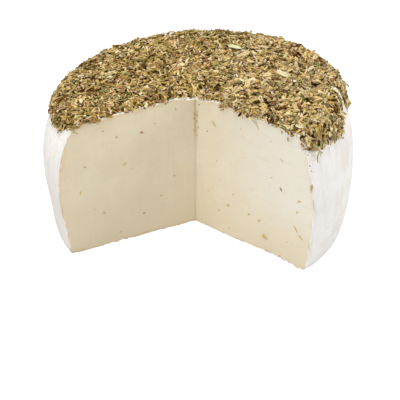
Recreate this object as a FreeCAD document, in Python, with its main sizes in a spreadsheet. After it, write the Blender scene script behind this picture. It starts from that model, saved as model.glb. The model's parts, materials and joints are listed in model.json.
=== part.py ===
import FreeCAD, Part
import math
import os
import Sketcher

# A sheep's milk brie: a soft wheel with bulging sides and a crowned, slightly tilted top, a wedge
# already cut out of it, and a coat of dried herbs that lies over the top and hangs a little way
# down the side. The top has sunk a little where the two cuts meet.
#
# Millimetres. The origin is on the wheel's axis at the face it stands on, +Z is up, and the
# missing wedge opens towards -Y.

DOC = FreeCAD.newDocument("sheep_milk_brie")

# Driving sizes: alias, value, what it is.
SIZES = (
    ("bulge_radius", 72.6, "widest mean radius of the wheel"),
    ("bulge_height", 37.2, "height of the widest place"),
    ("base_radius", 68.4, "radius the side runs in to at the base, before the foot is rounded"),
    ("rim_radius", 64.4, "radius the side runs in to at the rim, before the shoulder is rounded"),
    ("rim_height", 66.9, "mean height of the rim, before the shoulder is rounded"),
    ("crown_rise", 0.9, "how far the middle of the top stands above its rim"),
    ("crown_tilt", 2.0, "degrees by which the top leans"),
    ("crown_bearing", -36.5, "degrees from +X to the side on which the top is highest"),
    ("shoulder_round", 4.4, "rounding between side and top"),
    ("foot_round", 2.4, "rounding between side and base"),
    ("out_of_round", 0.3, "how far the long radius of a section is over the mean, and the short under"),
    ("side_wander", 0.4, "how far the sections stray sideways as the wheel slumped"),
    ("notch_angle", 112.1, "degrees between the two cut faces"),
    ("tip_x", -0.5, "where the two cuts meet, along X"),
    ("tip_y", -6.7, "where the two cuts meet, along Y"),
    ("slump_depth", 2.4, "how far the top has sunk where the two cuts meet"),
    ("slump_reach", 9.5, "how far from there the sunk place runs out"),
    ("coat_thickness", 1.5, "depth of the herb coat, square to the surface"),
    ("skirt_drop", 7.8, "mean drop of the coat's lower edge below the rim"),
    ("skirt_lift", 4.0, "how much higher that edge runs at the two cuts"),
    ("skirt_ragged", 0.9, "height of the largest waves in the coat's lower edge"),
    ("knife_overrun", 5.0, "how far every cutting form runs past what it cuts"),
)

# Sections of the side, bottom to top: which end the section lies towards, and its share of the
# way from the bulge to that end. The last one is above the rim, so that the crown has
# something to be cut from.
SECTIONS = (
    ("base", 1.0),
    ("base", 0.7),
    ("base", 0.35),
    ("rim", 0.0),
    ("rim", 0.35),
    ("rim", 0.7),
    ("rim", 1.0),
    ("rim", 1.3),
)
WANDER_STEP_X = 70
WANDER_STEP_Y = 110

# Waves of the coat's ragged edge: how many go round, share of the largest height, phase in radians.
SKIRT_WAVES = (
    (5, 1.0, 0.4),
    (11, 0.8, 1.9),
    (23, 0.6, 0.7),
)
SKIRT_POINTS = 184
SKIRT_LIFT_POWER = 3
NOTCH_BEARING = -math.pi / 2


def make_sheet(sizes):
    """Writes the driving sizes to a spreadsheet, one row each."""
    sheet = DOC.addObject("Spreadsheet::Sheet", "Sizes")
    for row, (alias, value, note) in enumerate(sizes, start=1):
        sheet.set("A%d" % row, alias)
        sheet.set("B%d" % row, str(value))
        sheet.set("C%d" % row, note)
        sheet.setAlias("B%d" % row, alias)
    DOC.recompute()
    return sheet


def attach(feature, body, role):
    """Puts a sketch or a primitive on one of its own body's origin planes."""
    plane = next(item for item in body.Origin.OriginFeatures if item.Role == role)
    feature.AttachmentSupport = [(plane, "")]
    feature.MapMode = "FlatFace"


def name_distance(sketch, name, expression, *where):
    """Adds a distance constraint, names it and binds it to an expression of the sheet."""
    index = sketch.addConstraint(Sketcher.Constraint(*where))
    sketch.renameConstraint(index, name)
    sketch.setExpression("Constraints.%s" % name, expression)


def side_section(body, name, place, skin):
    """One level section of the wheel: an ellipse, carried out by a skin."""
    index, (end, share) = place
    if end == "base":
        end_height = "0"
    else:
        end_height = "Sizes.rim_height"
    mean = "Sizes.bulge_radius - (Sizes.bulge_radius - Sizes.%s_radius) * %g^2" % (end, share)
    sketch = body.newObject("Sketcher::SketchObject", name)
    attach(sketch, body, "XY_Plane")
    # Its long axis points to -Y, so that the seam of the side falls in the missing wedge.
    tip = FreeCAD.Vector(0, -70.5, 0)
    flank = FreeCAD.Vector(69.5, 0, 0)
    ellipse = sketch.addGeometry(Part.Ellipse(tip, flank, FreeCAD.Vector(0, 0, 0)), False)
    sketch.exposeInternalGeometry(ellipse)
    sketch.addConstraint(Sketcher.Constraint("Coincident", ellipse, 3, -1, 1))
    sketch.addConstraint(Sketcher.Constraint("Vertical", ellipse + 1))
    long_axis = "2 * (%s + Sizes.out_of_round + %s)" % (mean, skin)
    short_axis = "2 * (%s - Sizes.out_of_round + %s)" % (mean, skin)
    name_distance(sketch, "long_axis", long_axis, "Distance", ellipse + 1, 141.0)
    name_distance(sketch, "short_axis", short_axis, "Distance", ellipse + 2, 139.0)
    height = "Sizes.bulge_height + (%s - Sizes.bulge_height) * %g" % (end_height, share)
    wander_x = "Sizes.side_wander * sin(%ddeg)" % (WANDER_STEP_X * index)
    wander_y = "Sizes.side_wander * sin(%ddeg)" % (WANDER_STEP_Y * index)
    sketch.setExpression("AttachmentOffset.Base.x", wander_x)
    sketch.setExpression("AttachmentOffset.Base.y", wander_y)
    sketch.setExpression("AttachmentOffset.Base.z", height)
    return sketch


def cut_crown(body, name, skin):
    """Turns the top off to a shallow, tilted dome."""
    sketch = body.newObject("Sketcher::SketchObject", name + "CrownProfile")
    attach(sketch, body, "YZ_Plane")
    sketch.AttachmentOffset = FreeCAD.Placement(
        FreeCAD.Vector(0, 0, 0), FreeCAD.Rotation(FreeCAD.Vector(-1, 0, -1), 2.0))
    sketch.setExpression("AttachmentOffset.Rotation.Angle", "Sizes.crown_tilt")
    sketch.setExpression("AttachmentOffset.Rotation.Axis.x", "-cos(Sizes.crown_bearing * 1deg)")
    sketch.setExpression("AttachmentOffset.Rotation.Axis.z", "sin(Sizes.crown_bearing * 1deg)")
    top = "Sizes.rim_height + Sizes.crown_rise + %s" % skin
    dome_radius = "(Sizes.rim_radius^2 + Sizes.crown_rise^2) / (2 * Sizes.crown_rise) + %s" % skin
    reach = "Sizes.bulge_radius + Sizes.knife_overrun + %s" % skin
    radius = 1100.0
    half_turn = math.asin(80.0 / radius)
    circle = Part.Circle(FreeCAD.Vector(0, 66.0 - radius, 0), FreeCAD.Vector(0, 0, 1), radius)
    arc = sketch.addGeometry(Part.ArcOfCircle(circle, math.pi / 2, math.pi / 2 + half_turn), False)
    corners = ((-80.0, 63.0), (-80.0, 90.0), (0.0, 90.0), (0.0, 66.0))
    for start, end in zip(corners, corners[1:]):
        line = Part.LineSegment(FreeCAD.Vector(*start, 0), FreeCAD.Vector(*end, 0))
        sketch.addGeometry(line, False)
    outer, roof, axis = arc + 1, arc + 2, arc + 3
    sketch.addConstraint(Sketcher.Constraint("Coincident", arc, 2, outer, 1))
    sketch.addConstraint(Sketcher.Constraint("Coincident", outer, 2, roof, 1))
    sketch.addConstraint(Sketcher.Constraint("Coincident", roof, 2, axis, 1))
    sketch.addConstraint(Sketcher.Constraint("Coincident", axis, 2, arc, 1))
    sketch.addConstraint(Sketcher.Constraint("Vertical", outer))
    sketch.addConstraint(Sketcher.Constraint("Horizontal", roof))
    sketch.addConstraint(Sketcher.Constraint("PointOnObject", axis, 1, -2))
    sketch.addConstraint(Sketcher.Constraint("PointOnObject", arc, 1, -2))
    sketch.addConstraint(Sketcher.Constraint("PointOnObject", arc, 3, -2))
    name_distance(sketch, "dome_radius", dome_radius, "Radius", arc, radius)
    name_distance(sketch, "reach", reach, "DistanceX", outer, 2, -1, 1, 80.0)
    name_distance(sketch, "top", top, "DistanceY", -1, 1, arc, 1, 66.0)
    name_distance(sketch, "ceiling", "Sizes.rim_height * 1.4", "DistanceY", -1, 1, roof, 2, 90.0)
    groove = body.newObject("PartDesign::Groove", name + "Crown")
    groove.Profile = sketch
    groove.ReferenceAxis = (sketch, ["V_Axis"])
    groove.Angle = 360.0
    DOC.recompute()
    return groove


def cut_slump(body, name, skin):
    """Sinks the top a little where the two cuts meet, as a shallow round dish."""
    sphere = body.newObject("PartDesign::SubtractiveSphere", name + "Slump")
    attach(sphere, body, "XY_Plane")
    bearing = "Sizes.crown_bearing * 1deg"
    towards_high_side = "(Sizes.tip_x * cos(%s) + Sizes.tip_y * sin(%s))" % (bearing, bearing)
    top = "Sizes.rim_height + Sizes.crown_rise + %s * tan(Sizes.crown_tilt * 1deg)" % towards_high_side
    radius = "(Sizes.slump_reach^2 + Sizes.slump_depth^2) / (2 * Sizes.slump_depth)"
    sphere.setExpression("Radius", "%s - %s" % (radius, skin))
    sphere.setExpression("AttachmentOffset.Base.x", "Sizes.tip_x")
    sphere.setExpression("AttachmentOffset.Base.y", "Sizes.tip_y")
    sphere.setExpression("AttachmentOffset.Base.z", "%s - Sizes.slump_depth + %s" % (top, radius))
    DOC.recompute()
    return sphere


def cut_notch(body, name):
    """Takes the missing wedge out along two straight cuts that meet in a sharp corner."""
    sketch = body.newObject("Sketcher::SketchObject", name + "NotchPlan")
    attach(sketch, body, "XY_Plane")
    corners = (
        FreeCAD.Vector(-0.5, -6.7, 0),
        FreeCAD.Vector(-115.0, -85.0, 0),
        FreeCAD.Vector(115.0, -85.0, 0),
    )
    for start, end in zip(corners, corners[1:] + corners[:1]):
        sketch.addGeometry(Part.LineSegment(start, end), False)
    left, far, right = 0, 1, 2
    sketch.addConstraint(Sketcher.Constraint("Coincident", left, 2, far, 1))
    sketch.addConstraint(Sketcher.Constraint("Coincident", far, 2, right, 1))
    sketch.addConstraint(Sketcher.Constraint("Coincident", right, 2, left, 1))
    sketch.addConstraint(Sketcher.Constraint("Horizontal", far))
    sketch.addConstraint(Sketcher.Constraint("Equal", left, right))
    depth = "(Sizes.bulge_radius + Sizes.coat_thickness + Sizes.knife_overrun)"
    width = "2 * %s * tan(Sizes.notch_angle * 0.5deg)" % depth
    name_distance(sketch, "depth", depth, "DistanceY", far, 1, left, 1, 80.0)
    name_distance(sketch, "width", width, "DistanceX", far, 1, far, 2, 230.0)
    name_distance(sketch, "tip_x", "Sizes.tip_x", "DistanceX", -1, 1, left, 1, -0.5)
    name_distance(sketch, "tip_y", "Sizes.tip_y", "DistanceY", -1, 1, left, 1, -6.7)
    pocket = body.newObject("PartDesign::Pocket", name + "Notch")
    pocket.Profile = sketch
    pocket.Type = "ThroughAll"
    pocket.Midplane = True
    DOC.recompute()
    return pocket


def lies_on_side(edge):
    """Tells whether an edge runs round the side, and not along one of the two cuts."""
    middle = edge.valueAt((edge.FirstParameter + edge.LastParameter) / 2)
    return math.hypot(middle.x, middle.y) > DOC.Sizes.base_radius * 0.9


def round_edges(body, base, name, radius, chosen):
    """Rounds the edges of a feature that a test picks, with a radius bound to the sheet."""
    picked = []
    for number, edge in enumerate(base.Shape.Edges, start=1):
        if chosen(edge):
            picked.append("Edge%d" % number)
    rounding = body.newObject("PartDesign::Fillet", name)
    rounding.Base = (base, picked)
    rounding.setExpression("Radius", radius)
    DOC.recompute()
    return rounding


def wheel_form(name, skin):
    """The cut wheel: lofted side, crowned and sunk top, missing wedge, rounded shoulder and foot.

    The skin is an expression for how far the form is carried out past the cheese itself.
    """
    body = DOC.addObject("PartDesign::Body", name)
    sections = []
    for place in enumerate(SECTIONS):
        sections.append(side_section(body, "%sSection%d" % (name, place[0]), place, skin))
    side = body.newObject("PartDesign::AdditiveLoft", name + "Side")
    side.Profile = sections[0]
    side.Sections = sections[1:]
    DOC.recompute()
    cut_crown(body, name, skin)
    cut_slump(body, name, skin)
    notch = cut_notch(body, name)
    rim = DOC.Sizes.rim_height * 0.9
    shoulder = round_edges(
        body, notch, name + "Shoulder", "Sizes.shoulder_round + %s" % skin,
        lambda edge: edge.BoundBox.ZMin > rim and lies_on_side(edge))
    round_edges(
        body, shoulder, name + "Foot", "Sizes.foot_round",
        lambda edge: edge.BoundBox.ZMax < 0.001 and lies_on_side(edge))
    return body


def skirt_height(turn):
    """Height of the coat's lower edge at an angle round the wheel, in radians from +X."""
    sizes = DOC.Sizes
    height = sizes.rim_height - sizes.skirt_drop
    nearness = math.cos(turn - NOTCH_BEARING) / math.cos(math.radians(sizes.notch_angle) / 2)
    height += sizes.skirt_lift * max(nearness, 0) ** SKIRT_LIFT_POWER
    for count, share, phase in SKIRT_WAVES:
        height += sizes.skirt_ragged * share * math.sin(count * turn + phase)
    return height


def skirt_ring(reach):
    """Closed curve that follows the coat's lower edge at a distance from the axis."""
    points = []
    for step in range(SKIRT_POINTS):
        turn = 2 * math.pi * step / SKIRT_POINTS
        points.append(
            FreeCAD.Vector(reach * math.cos(turn), reach * math.sin(turn), skirt_height(turn)))
    curve = Part.BSplineCurve()
    curve.interpolate(Points=points, PeriodicFlag=True)
    return curve.toShape()


def skirt_form():
    """What lies below the coat's ragged edge: a wavy ring swept down past the base."""
    sizes = DOC.Sizes
    inner = skirt_ring(sizes.rim_radius / 2)
    outer = skirt_ring(sizes.bulge_radius + sizes.coat_thickness + sizes.knife_overrun)
    sheet = Part.makeRuledSurface(inner, outer)
    form = DOC.addObject("Part::Feature", "BelowSkirt")
    form.Shape = sheet.extrude(FreeCAD.Vector(0, 0, -sizes.rim_height - sizes.knife_overrun))
    return form


def subtract(label, base, tool):
    """One form less another, as an object of the document."""
    cut = DOC.addObject("Part::Cut", label)
    cut.Label = label
    cut.Base = base
    cut.Tool = tool
    return cut


def check_document():
    """Stops if any object of the document failed to build."""
    for item in DOC.Objects:
        if "Invalid" in item.State or "Error" in item.State:
            raise RuntimeError("%s failed: %s" % (item.Name, item.State))


def export(piece):
    """Writes one finished piece to its STEP file, after checking its solid."""
    shape = piece.Shape
    if shape.isNull() or not shape.isValid() or len(shape.Solids) != 1:
        raise RuntimeError("%s is not one sound solid" % piece.Label)
    shape.exportStep("parts/%s.step" % piece.Label)
    box = shape.BoundBox
    print("%s: %.1f cm3, X %.2f..%.2f, Y %.2f..%.2f, Z %.2f..%.2f" % (
        piece.Label, shape.Volume / 1000, box.XMin, box.XMax, box.YMin, box.YMax, box.ZMin, box.ZMax))


def main():
    """Builds the cheese and its herb coat and writes them out."""
    os.makedirs("parts", exist_ok=True)
    make_sheet(SIZES)
    cheese_wheel = wheel_form("cheese_wheel", "0")
    coated = wheel_form("coated", "Sizes.coat_thickness")
    layer = subtract("coat_hemmed", coated, skirt_form())
    herb_coat = subtract("herb_coat", layer, cheese_wheel)
    DOC.recompute()
    check_document()
    for piece in (cheese_wheel, herb_coat):
        export(piece)


main()
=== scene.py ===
import sys
import json
import logging
import math
import random
from dataclasses import dataclass, field
from enum import Enum, IntEnum
from typing import Sequence

import bmesh
import bpy
import numpy as np
from mathutils import Matrix, Vector, noise
from mathutils.bvhtree import BVHTree

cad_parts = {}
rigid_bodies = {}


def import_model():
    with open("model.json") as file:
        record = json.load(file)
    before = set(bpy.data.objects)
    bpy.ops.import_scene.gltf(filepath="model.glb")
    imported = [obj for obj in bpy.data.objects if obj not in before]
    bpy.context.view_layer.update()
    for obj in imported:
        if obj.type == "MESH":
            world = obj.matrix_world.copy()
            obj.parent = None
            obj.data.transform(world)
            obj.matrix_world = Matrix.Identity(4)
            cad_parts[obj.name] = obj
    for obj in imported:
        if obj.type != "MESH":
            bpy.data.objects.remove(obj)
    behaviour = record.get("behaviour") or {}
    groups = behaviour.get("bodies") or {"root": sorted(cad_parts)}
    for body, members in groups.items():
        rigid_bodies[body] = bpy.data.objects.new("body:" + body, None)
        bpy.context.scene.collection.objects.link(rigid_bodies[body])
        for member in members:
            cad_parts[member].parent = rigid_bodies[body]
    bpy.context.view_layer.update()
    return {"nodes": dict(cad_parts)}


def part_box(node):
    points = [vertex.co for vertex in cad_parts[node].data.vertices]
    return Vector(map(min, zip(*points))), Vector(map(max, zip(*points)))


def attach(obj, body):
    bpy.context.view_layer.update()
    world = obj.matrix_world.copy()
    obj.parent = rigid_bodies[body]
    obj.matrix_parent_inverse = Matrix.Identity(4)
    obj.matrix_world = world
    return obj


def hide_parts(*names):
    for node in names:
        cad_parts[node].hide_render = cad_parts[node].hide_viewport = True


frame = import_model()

LOG = logging.getLogger("brie")
MM = 0.001
BODY = "root"
CHEESE_NODE = "cheese_wheel"
COAT_NODE = "herb_coat"
BIT_MAP = "UVMap"
CELL_MAP = "OFBake"
CELL_MARGIN = 0.08
SAME_PLACE = 0.002 * MM

Colour = tuple[float, float, float, float]


def srgb(red: float, green: float, blue: float) -> Colour:
    """Turns a display colour of 0 to 255 into a scene colour.

    Args:
        red: Display red.
        green: Display green.
        blue: Display blue.

    Returns:
        The linear colour with full alpha.
    """
    linear = []
    for value in (red, green, blue):
        share = value / 255
        linear.append(share / 12.92 if share <= 0.04045 else ((share + 0.055) / 1.055) ** 2.4)
    return (linear[0], linear[1], linear[2], 1.0)


def smoothstep(low: float, high: float, value: np.ndarray | float) -> np.ndarray | float:
    """Rises smoothly from 0 at low to 1 at high.

    Args:
        low: Where the rise begins.
        high: Where it ends. It may be below low, for a fall.
        value: One value or an array.

    Returns:
        The share, of the same form as value.
    """
    share = np.clip((value - low) / (high - low), 0.0, 1.0)
    return share * share * (3 - 2 * share)


def fractal(points: np.ndarray, size: float, octaves: int, shift: float) -> np.ndarray:
    """Smooth noise at points in space.

    Args:
        points: Places in metres, one a row.
        size: Width of the largest lumps in metres.
        octaves: How many finer layers are added.
        shift: Moves the noise, so that two uses differ.

    Returns:
        About -1 to 1 for each point.
    """
    offset = Vector((shift, -shift * 0.7, shift * 1.3))
    values = [noise.fractal(Vector(p) / size + offset, 1.0, 2.0, octaves) for p in points.tolist()]
    return np.array(values)


class Mark(str, Enum):
    """Names of the numbers that meshes carry for their materials."""

    DEPTH = "rind_depth"
    CORNER = "corner_distance"
    TONE = "tone"
    COVER = "cover"
    FLAKE = "flake"
    BURIED = "buried"


class Cut(IntEnum):
    """The notch's two faces, each as its place among the wheel's bearings."""

    RIGHT = 0
    LEFT = -1


def heading(bearing: float) -> Vector:
    """The level direction at an angle from +X in radians."""
    return Vector((math.cos(bearing), math.sin(bearing), 0))


# ---------------------------------------------------------------- node graphs


class Graph:
    """Builds a shader or geometry node tree with little writing."""

    def __init__(self, tree: bpy.types.NodeTree) -> None:
        """Starts on a tree that may already hold nodes."""
        self.tree = tree
        self.column = 0

    def node(self, kind: str, **settings: object) -> bpy.types.Node:
        """Adds a node and sets its own properties.

        Args:
            kind: The node's type name.
            **settings: Properties of the node.

        Returns:
            The new node.
        """
        made = self.tree.nodes.new(kind)
        self.column += 1
        made.location = (self.column * 180, 0)
        for name, value in settings.items():
            setattr(made, name, value)
        return made

    def feed(self, node: bpy.types.Node, **inputs: object) -> bpy.types.Node:
        """Sets or links a node's inputs by name, with spaces written as underscores.

        Args:
            node: The node.
            **inputs: A value, or another node's output socket.

        Returns:
            The same node.
        """
        for name, value in inputs.items():
            self.put(find_socket(node.inputs, name.replace("_", " ")), value)
        return node

    def put(self, socket: bpy.types.NodeSocket, value: object) -> None:
        """Links a socket to an output, or sets its value.

        Args:
            socket: An input.
            value: An output socket, or a plain value.
        """
        if isinstance(value, bpy.types.NodeSocket):
            self.tree.links.new(value, socket)
        else:
            socket.default_value = value

    def maths(self, operation: str, first: object, second: object = 0.0) -> bpy.types.NodeSocket:
        """One sum on two numbers.

        Args:
            operation: The node's operation, such as MULTIPLY.
            first: Value or socket.
            second: Value or socket.

        Returns:
            The result.
        """
        made = self.node("ShaderNodeMath", operation=operation)
        self.put(made.inputs[0], first)
        self.put(made.inputs[1], second)
        return made.outputs["Value"]

    def vector_maths(self, operation: str, *values: object) -> bpy.types.NodeSocket:
        """One sum on vectors.

        Args:
            operation: The node's operation, such as ADD.
            *values: Vectors or sockets. A number's socket counts for all three axes.

        Returns:
            The result.
        """
        made = self.node("ShaderNodeVectorMath", operation=operation)
        for socket, value in zip(made.inputs, values):
            self.put(socket, value)
        return made.outputs["Vector"]

    def split(self, vector: bpy.types.NodeSocket) -> bpy.types.bpy_prop_collection:
        """The X, Y and Z of a vector, as sockets by name."""
        return self.feed(self.node("ShaderNodeSeparateXYZ"), Vector=vector).outputs

    def joined(self, x: object, y: object, z: object = 0.0) -> bpy.types.NodeSocket:
        """A vector made of three values or sockets."""
        return self.feed(self.node("ShaderNodeCombineXYZ"), X=x, Y=y, Z=z).outputs["Vector"]


def find_socket(sockets: bpy.types.bpy_prop_collection, name: str) -> bpy.types.NodeSocket:
    """Finds the enabled socket of that name.

    Args:
        sockets: A node's inputs or outputs.
        name: The socket's name.

    Returns:
        The first one that is in use.
    """
    for socket in sockets:
        if socket.name == name and socket.enabled:
            return socket
    raise KeyError(f"no socket {name!r} among {[s.name for s in sockets]}")


class Shader(Graph):
    """A material's graph, with the few node patterns that the finishes share."""

    def __init__(self, name: str) -> None:
        """Makes the material with a bare Principled shader.

        Args:
            name: The material's name.
        """
        self.material = bpy.data.materials.new(name)
        self.material.use_nodes = True
        super().__init__(self.material.node_tree)
        self.tree.nodes.clear()
        self.surface = self.node("ShaderNodeBsdfPrincipled")
        output = self.node("ShaderNodeOutputMaterial")
        self.tree.links.new(self.surface.outputs["BSDF"], output.inputs["Surface"])
        self.place = self.node("ShaderNodeTexCoord").outputs["Object"]

    def stretched(self, scale: tuple[float, float, float]) -> bpy.types.NodeSocket:
        """Object coordinates, scaled by a factor along each axis."""
        return self.feed(self.node("ShaderNodeMapping"), Vector=self.place, Scale=scale).outputs["Vector"]

    def own_map(self) -> bpy.types.bpy_prop_collection:
        """Where a bit's surface is along (X) and around it (Y), 0 to 1."""
        return self.split(self.node("ShaderNodeUVMap", uv_map=BIT_MAP).outputs["UV"])

    def noise(self, size: float, detail: float = 3.0, place: bpy.types.NodeSocket | None = None,
              roughness: float = 0.5) -> bpy.types.NodeSocket:
        """Noise with lumps of a real size.

        Args:
            size: Width of a lump in metres.
            detail: How many finer layers it has.
            place: Coordinates other than the object's own.
            roughness: Strength of the finer layers.

        Returns:
            The noise's value, about 0 to 1.
        """
        made = self.node("ShaderNodeTexNoise")
        self.feed(made, Vector=place or self.place, Scale=1 / size, Detail=detail, Roughness=roughness)
        return made.outputs["Fac"]

    def cells(self, size: float) -> bpy.types.Node:
        """The node of a cell pattern whose cells have a width in metres."""
        return self.feed(self.node("ShaderNodeTexVoronoi"), Vector=self.place, Scale=1 / size)

    def step(self, value: bpy.types.NodeSocket, low: float, high: float, bottom: float = 0.0,
             top: float = 1.0) -> bpy.types.NodeSocket:
        """Maps a value smoothly from one range to another.

        Args:
            value: What is mapped.
            low: The value that gives bottom.
            high: The value that gives top.
            bottom: Result at low.
            top: Result at high.

        Returns:
            The mapped value.
        """
        made = self.node("ShaderNodeMapRange", interpolation_type="SMOOTHSTEP")
        self.feed(made, Value=value, From_Min=low, From_Max=high, To_Min=bottom, To_Max=top)
        return made.outputs["Result"]

    def blend(self, share: object, first: object, second: object,
              way: str = "MIX") -> bpy.types.NodeSocket:
        """Mixes two colours.

        Args:
            share: How much of the second, as a value or socket.
            first: Colour or socket.
            second: Colour or socket.
            way: The mix's blend type.

        Returns:
            The mixed colour.
        """
        made = self.node("ShaderNodeMix", data_type="RGBA", blend_type=way)
        for name, value in (("Factor", share), ("A", first), ("B", second)):
            self.put(find_socket(made.inputs, name), value)
        return find_socket(made.outputs, "Result")

    def ramp(self, value: bpy.types.NodeSocket, tones: Sequence[Colour]) -> bpy.types.NodeSocket:
        """Turns a value into a colour through evenly spaced tones.

        Args:
            value: What is looked up, 0 to 1.
            tones: The colours, in order.

        Returns:
            The colour.
        """
        made = self.node("ShaderNodeValToRGB")
        elements = made.color_ramp.elements
        while len(elements) < len(tones):
            elements.new(0.5)
        for index, (element, tone) in enumerate(zip(elements, tones)):
            element.position = index / (len(tones) - 1)
            element.color = tone
        self.feed(made, Fac=value)
        return made.outputs["Color"]

    def attribute(self, mark: Mark) -> bpy.types.NodeSocket:
        """A number that is stored on the mesh."""
        return self.node("ShaderNodeAttribute", attribute_name=mark.value).outputs["Fac"]

    def bump(self, height: bpy.types.NodeSocket, depth: float,
             under: bpy.types.NodeSocket | None = None) -> bpy.types.NodeSocket:
        """Fine relief from a height.

        Args:
            height: The height, 0 to 1.
            depth: How deep it is in metres.
            under: Relief that this one is laid on.

        Returns:
            The bent normal.
        """
        made = self.node("ShaderNodeBump")
        self.feed(made, Height=height, Distance=depth, Strength=1.0)
        if under is not None:
            self.feed(made, Normal=under)
        return made.outputs["Normal"]

    def dress(self, **inputs: object) -> bpy.types.Material:
        """Feeds the Principled shader and returns the finished material."""
        self.feed(self.surface, **inputs)
        return self.material


# ------------------------------------------------------------------- finishes


@dataclass(frozen=True)
class RindFinish:
    """White bloom of mould: velvety, uneven, with faint upright creases and grey rubs.

    It is creamier and darker towards the left, which is painted shade, and tan where it meets the board.
    """

    bloom: Colour = srgb(250, 247, 243)
    cream: Colour = srgb(242, 235, 226)
    rub: Colour = srgb(214, 210, 206)
    cloud: Colour = srgb(234, 230, 229)
    foot: Colour = srgb(216, 192, 156)
    upright: tuple[float, float, float] = (1.0, 1.0, 0.18)
    patch_width: float = 14 * MM
    rub_width: float = 9 * MM
    cloud_width: float = 4.5 * MM
    crease_width: float = 2.4 * MM
    crease_depth: float = 0.5 * MM
    lump_width: float = 1.5 * MM
    lump_depth: float = 0.26 * MM
    velvet_width: float = 0.32 * MM
    velvet_depth: float = 0.07 * MM
    # Painted shade: the rind turns creamier and darker over this span of X on the left.
    left_shade_span: tuple[float, float] = (-20 * MM, -60 * MM)
    foot_height: tuple[float, float] = (0.7 * MM, 0.1 * MM)

    def material(self) -> bpy.types.Material:
        """Builds the material.

        Returns:
            The material.
        """
        shader = Shader("white_rind")
        axes = shader.split(shader.place)
        upright = shader.stretched(self.upright)
        creases = shader.noise(self.crease_width, 4, upright, 0.6)
        patches = shader.step(shader.noise(self.patch_width, 4), 0.42, 0.66)
        colour = shader.blend(patches, self.bloom, self.cream)
        colour = shader.blend(shader.step(creases, 0.52, 0.75, 0.0, 0.35), colour, self.cream)
        rubbed = shader.step(shader.noise(self.rub_width, 2), 0.6, 0.72)
        worn = shader.step(shader.noise(1.1 * MM, 3), 0.5, 0.62, 0.0, 0.5)
        colour = shader.blend(shader.maths("MULTIPLY", rubbed, worn), colour, self.rub)
        cloud = shader.step(shader.noise(self.cloud_width, 5, upright, 0.7), 0.46, 0.64, 0.0, 0.55)
        colour = shader.blend(cloud, colour, self.cloud)
        # Painted shade on the left side of the rind.
        colour = shader.blend(shader.step(axes["X"], *self.left_shade_span, 0.0, 0.5), colour, self.cream)
        colour = shader.blend(shader.step(axes["Z"], *self.foot_height, 0.0, 0.8), colour, self.foot)
        velvet = shader.bump(shader.noise(self.velvet_width, 3), self.velvet_depth)
        folds = shader.bump(creases, self.crease_depth, velvet)
        lumps = shader.bump(shader.noise(self.lump_width, 3), self.lump_depth, folds)
        return shader.dress(
            Base_Color=colour, Roughness=0.92, Specular_IOR_Level=0.25, Normal=lumps,
            Subsurface_Weight=0.15, Subsurface_Radius=(1.0, 0.8, 0.6), Subsurface_Scale=1.2 * MM,
            Sheen_Weight=0.12, Sheen_Roughness=0.6)


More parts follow.
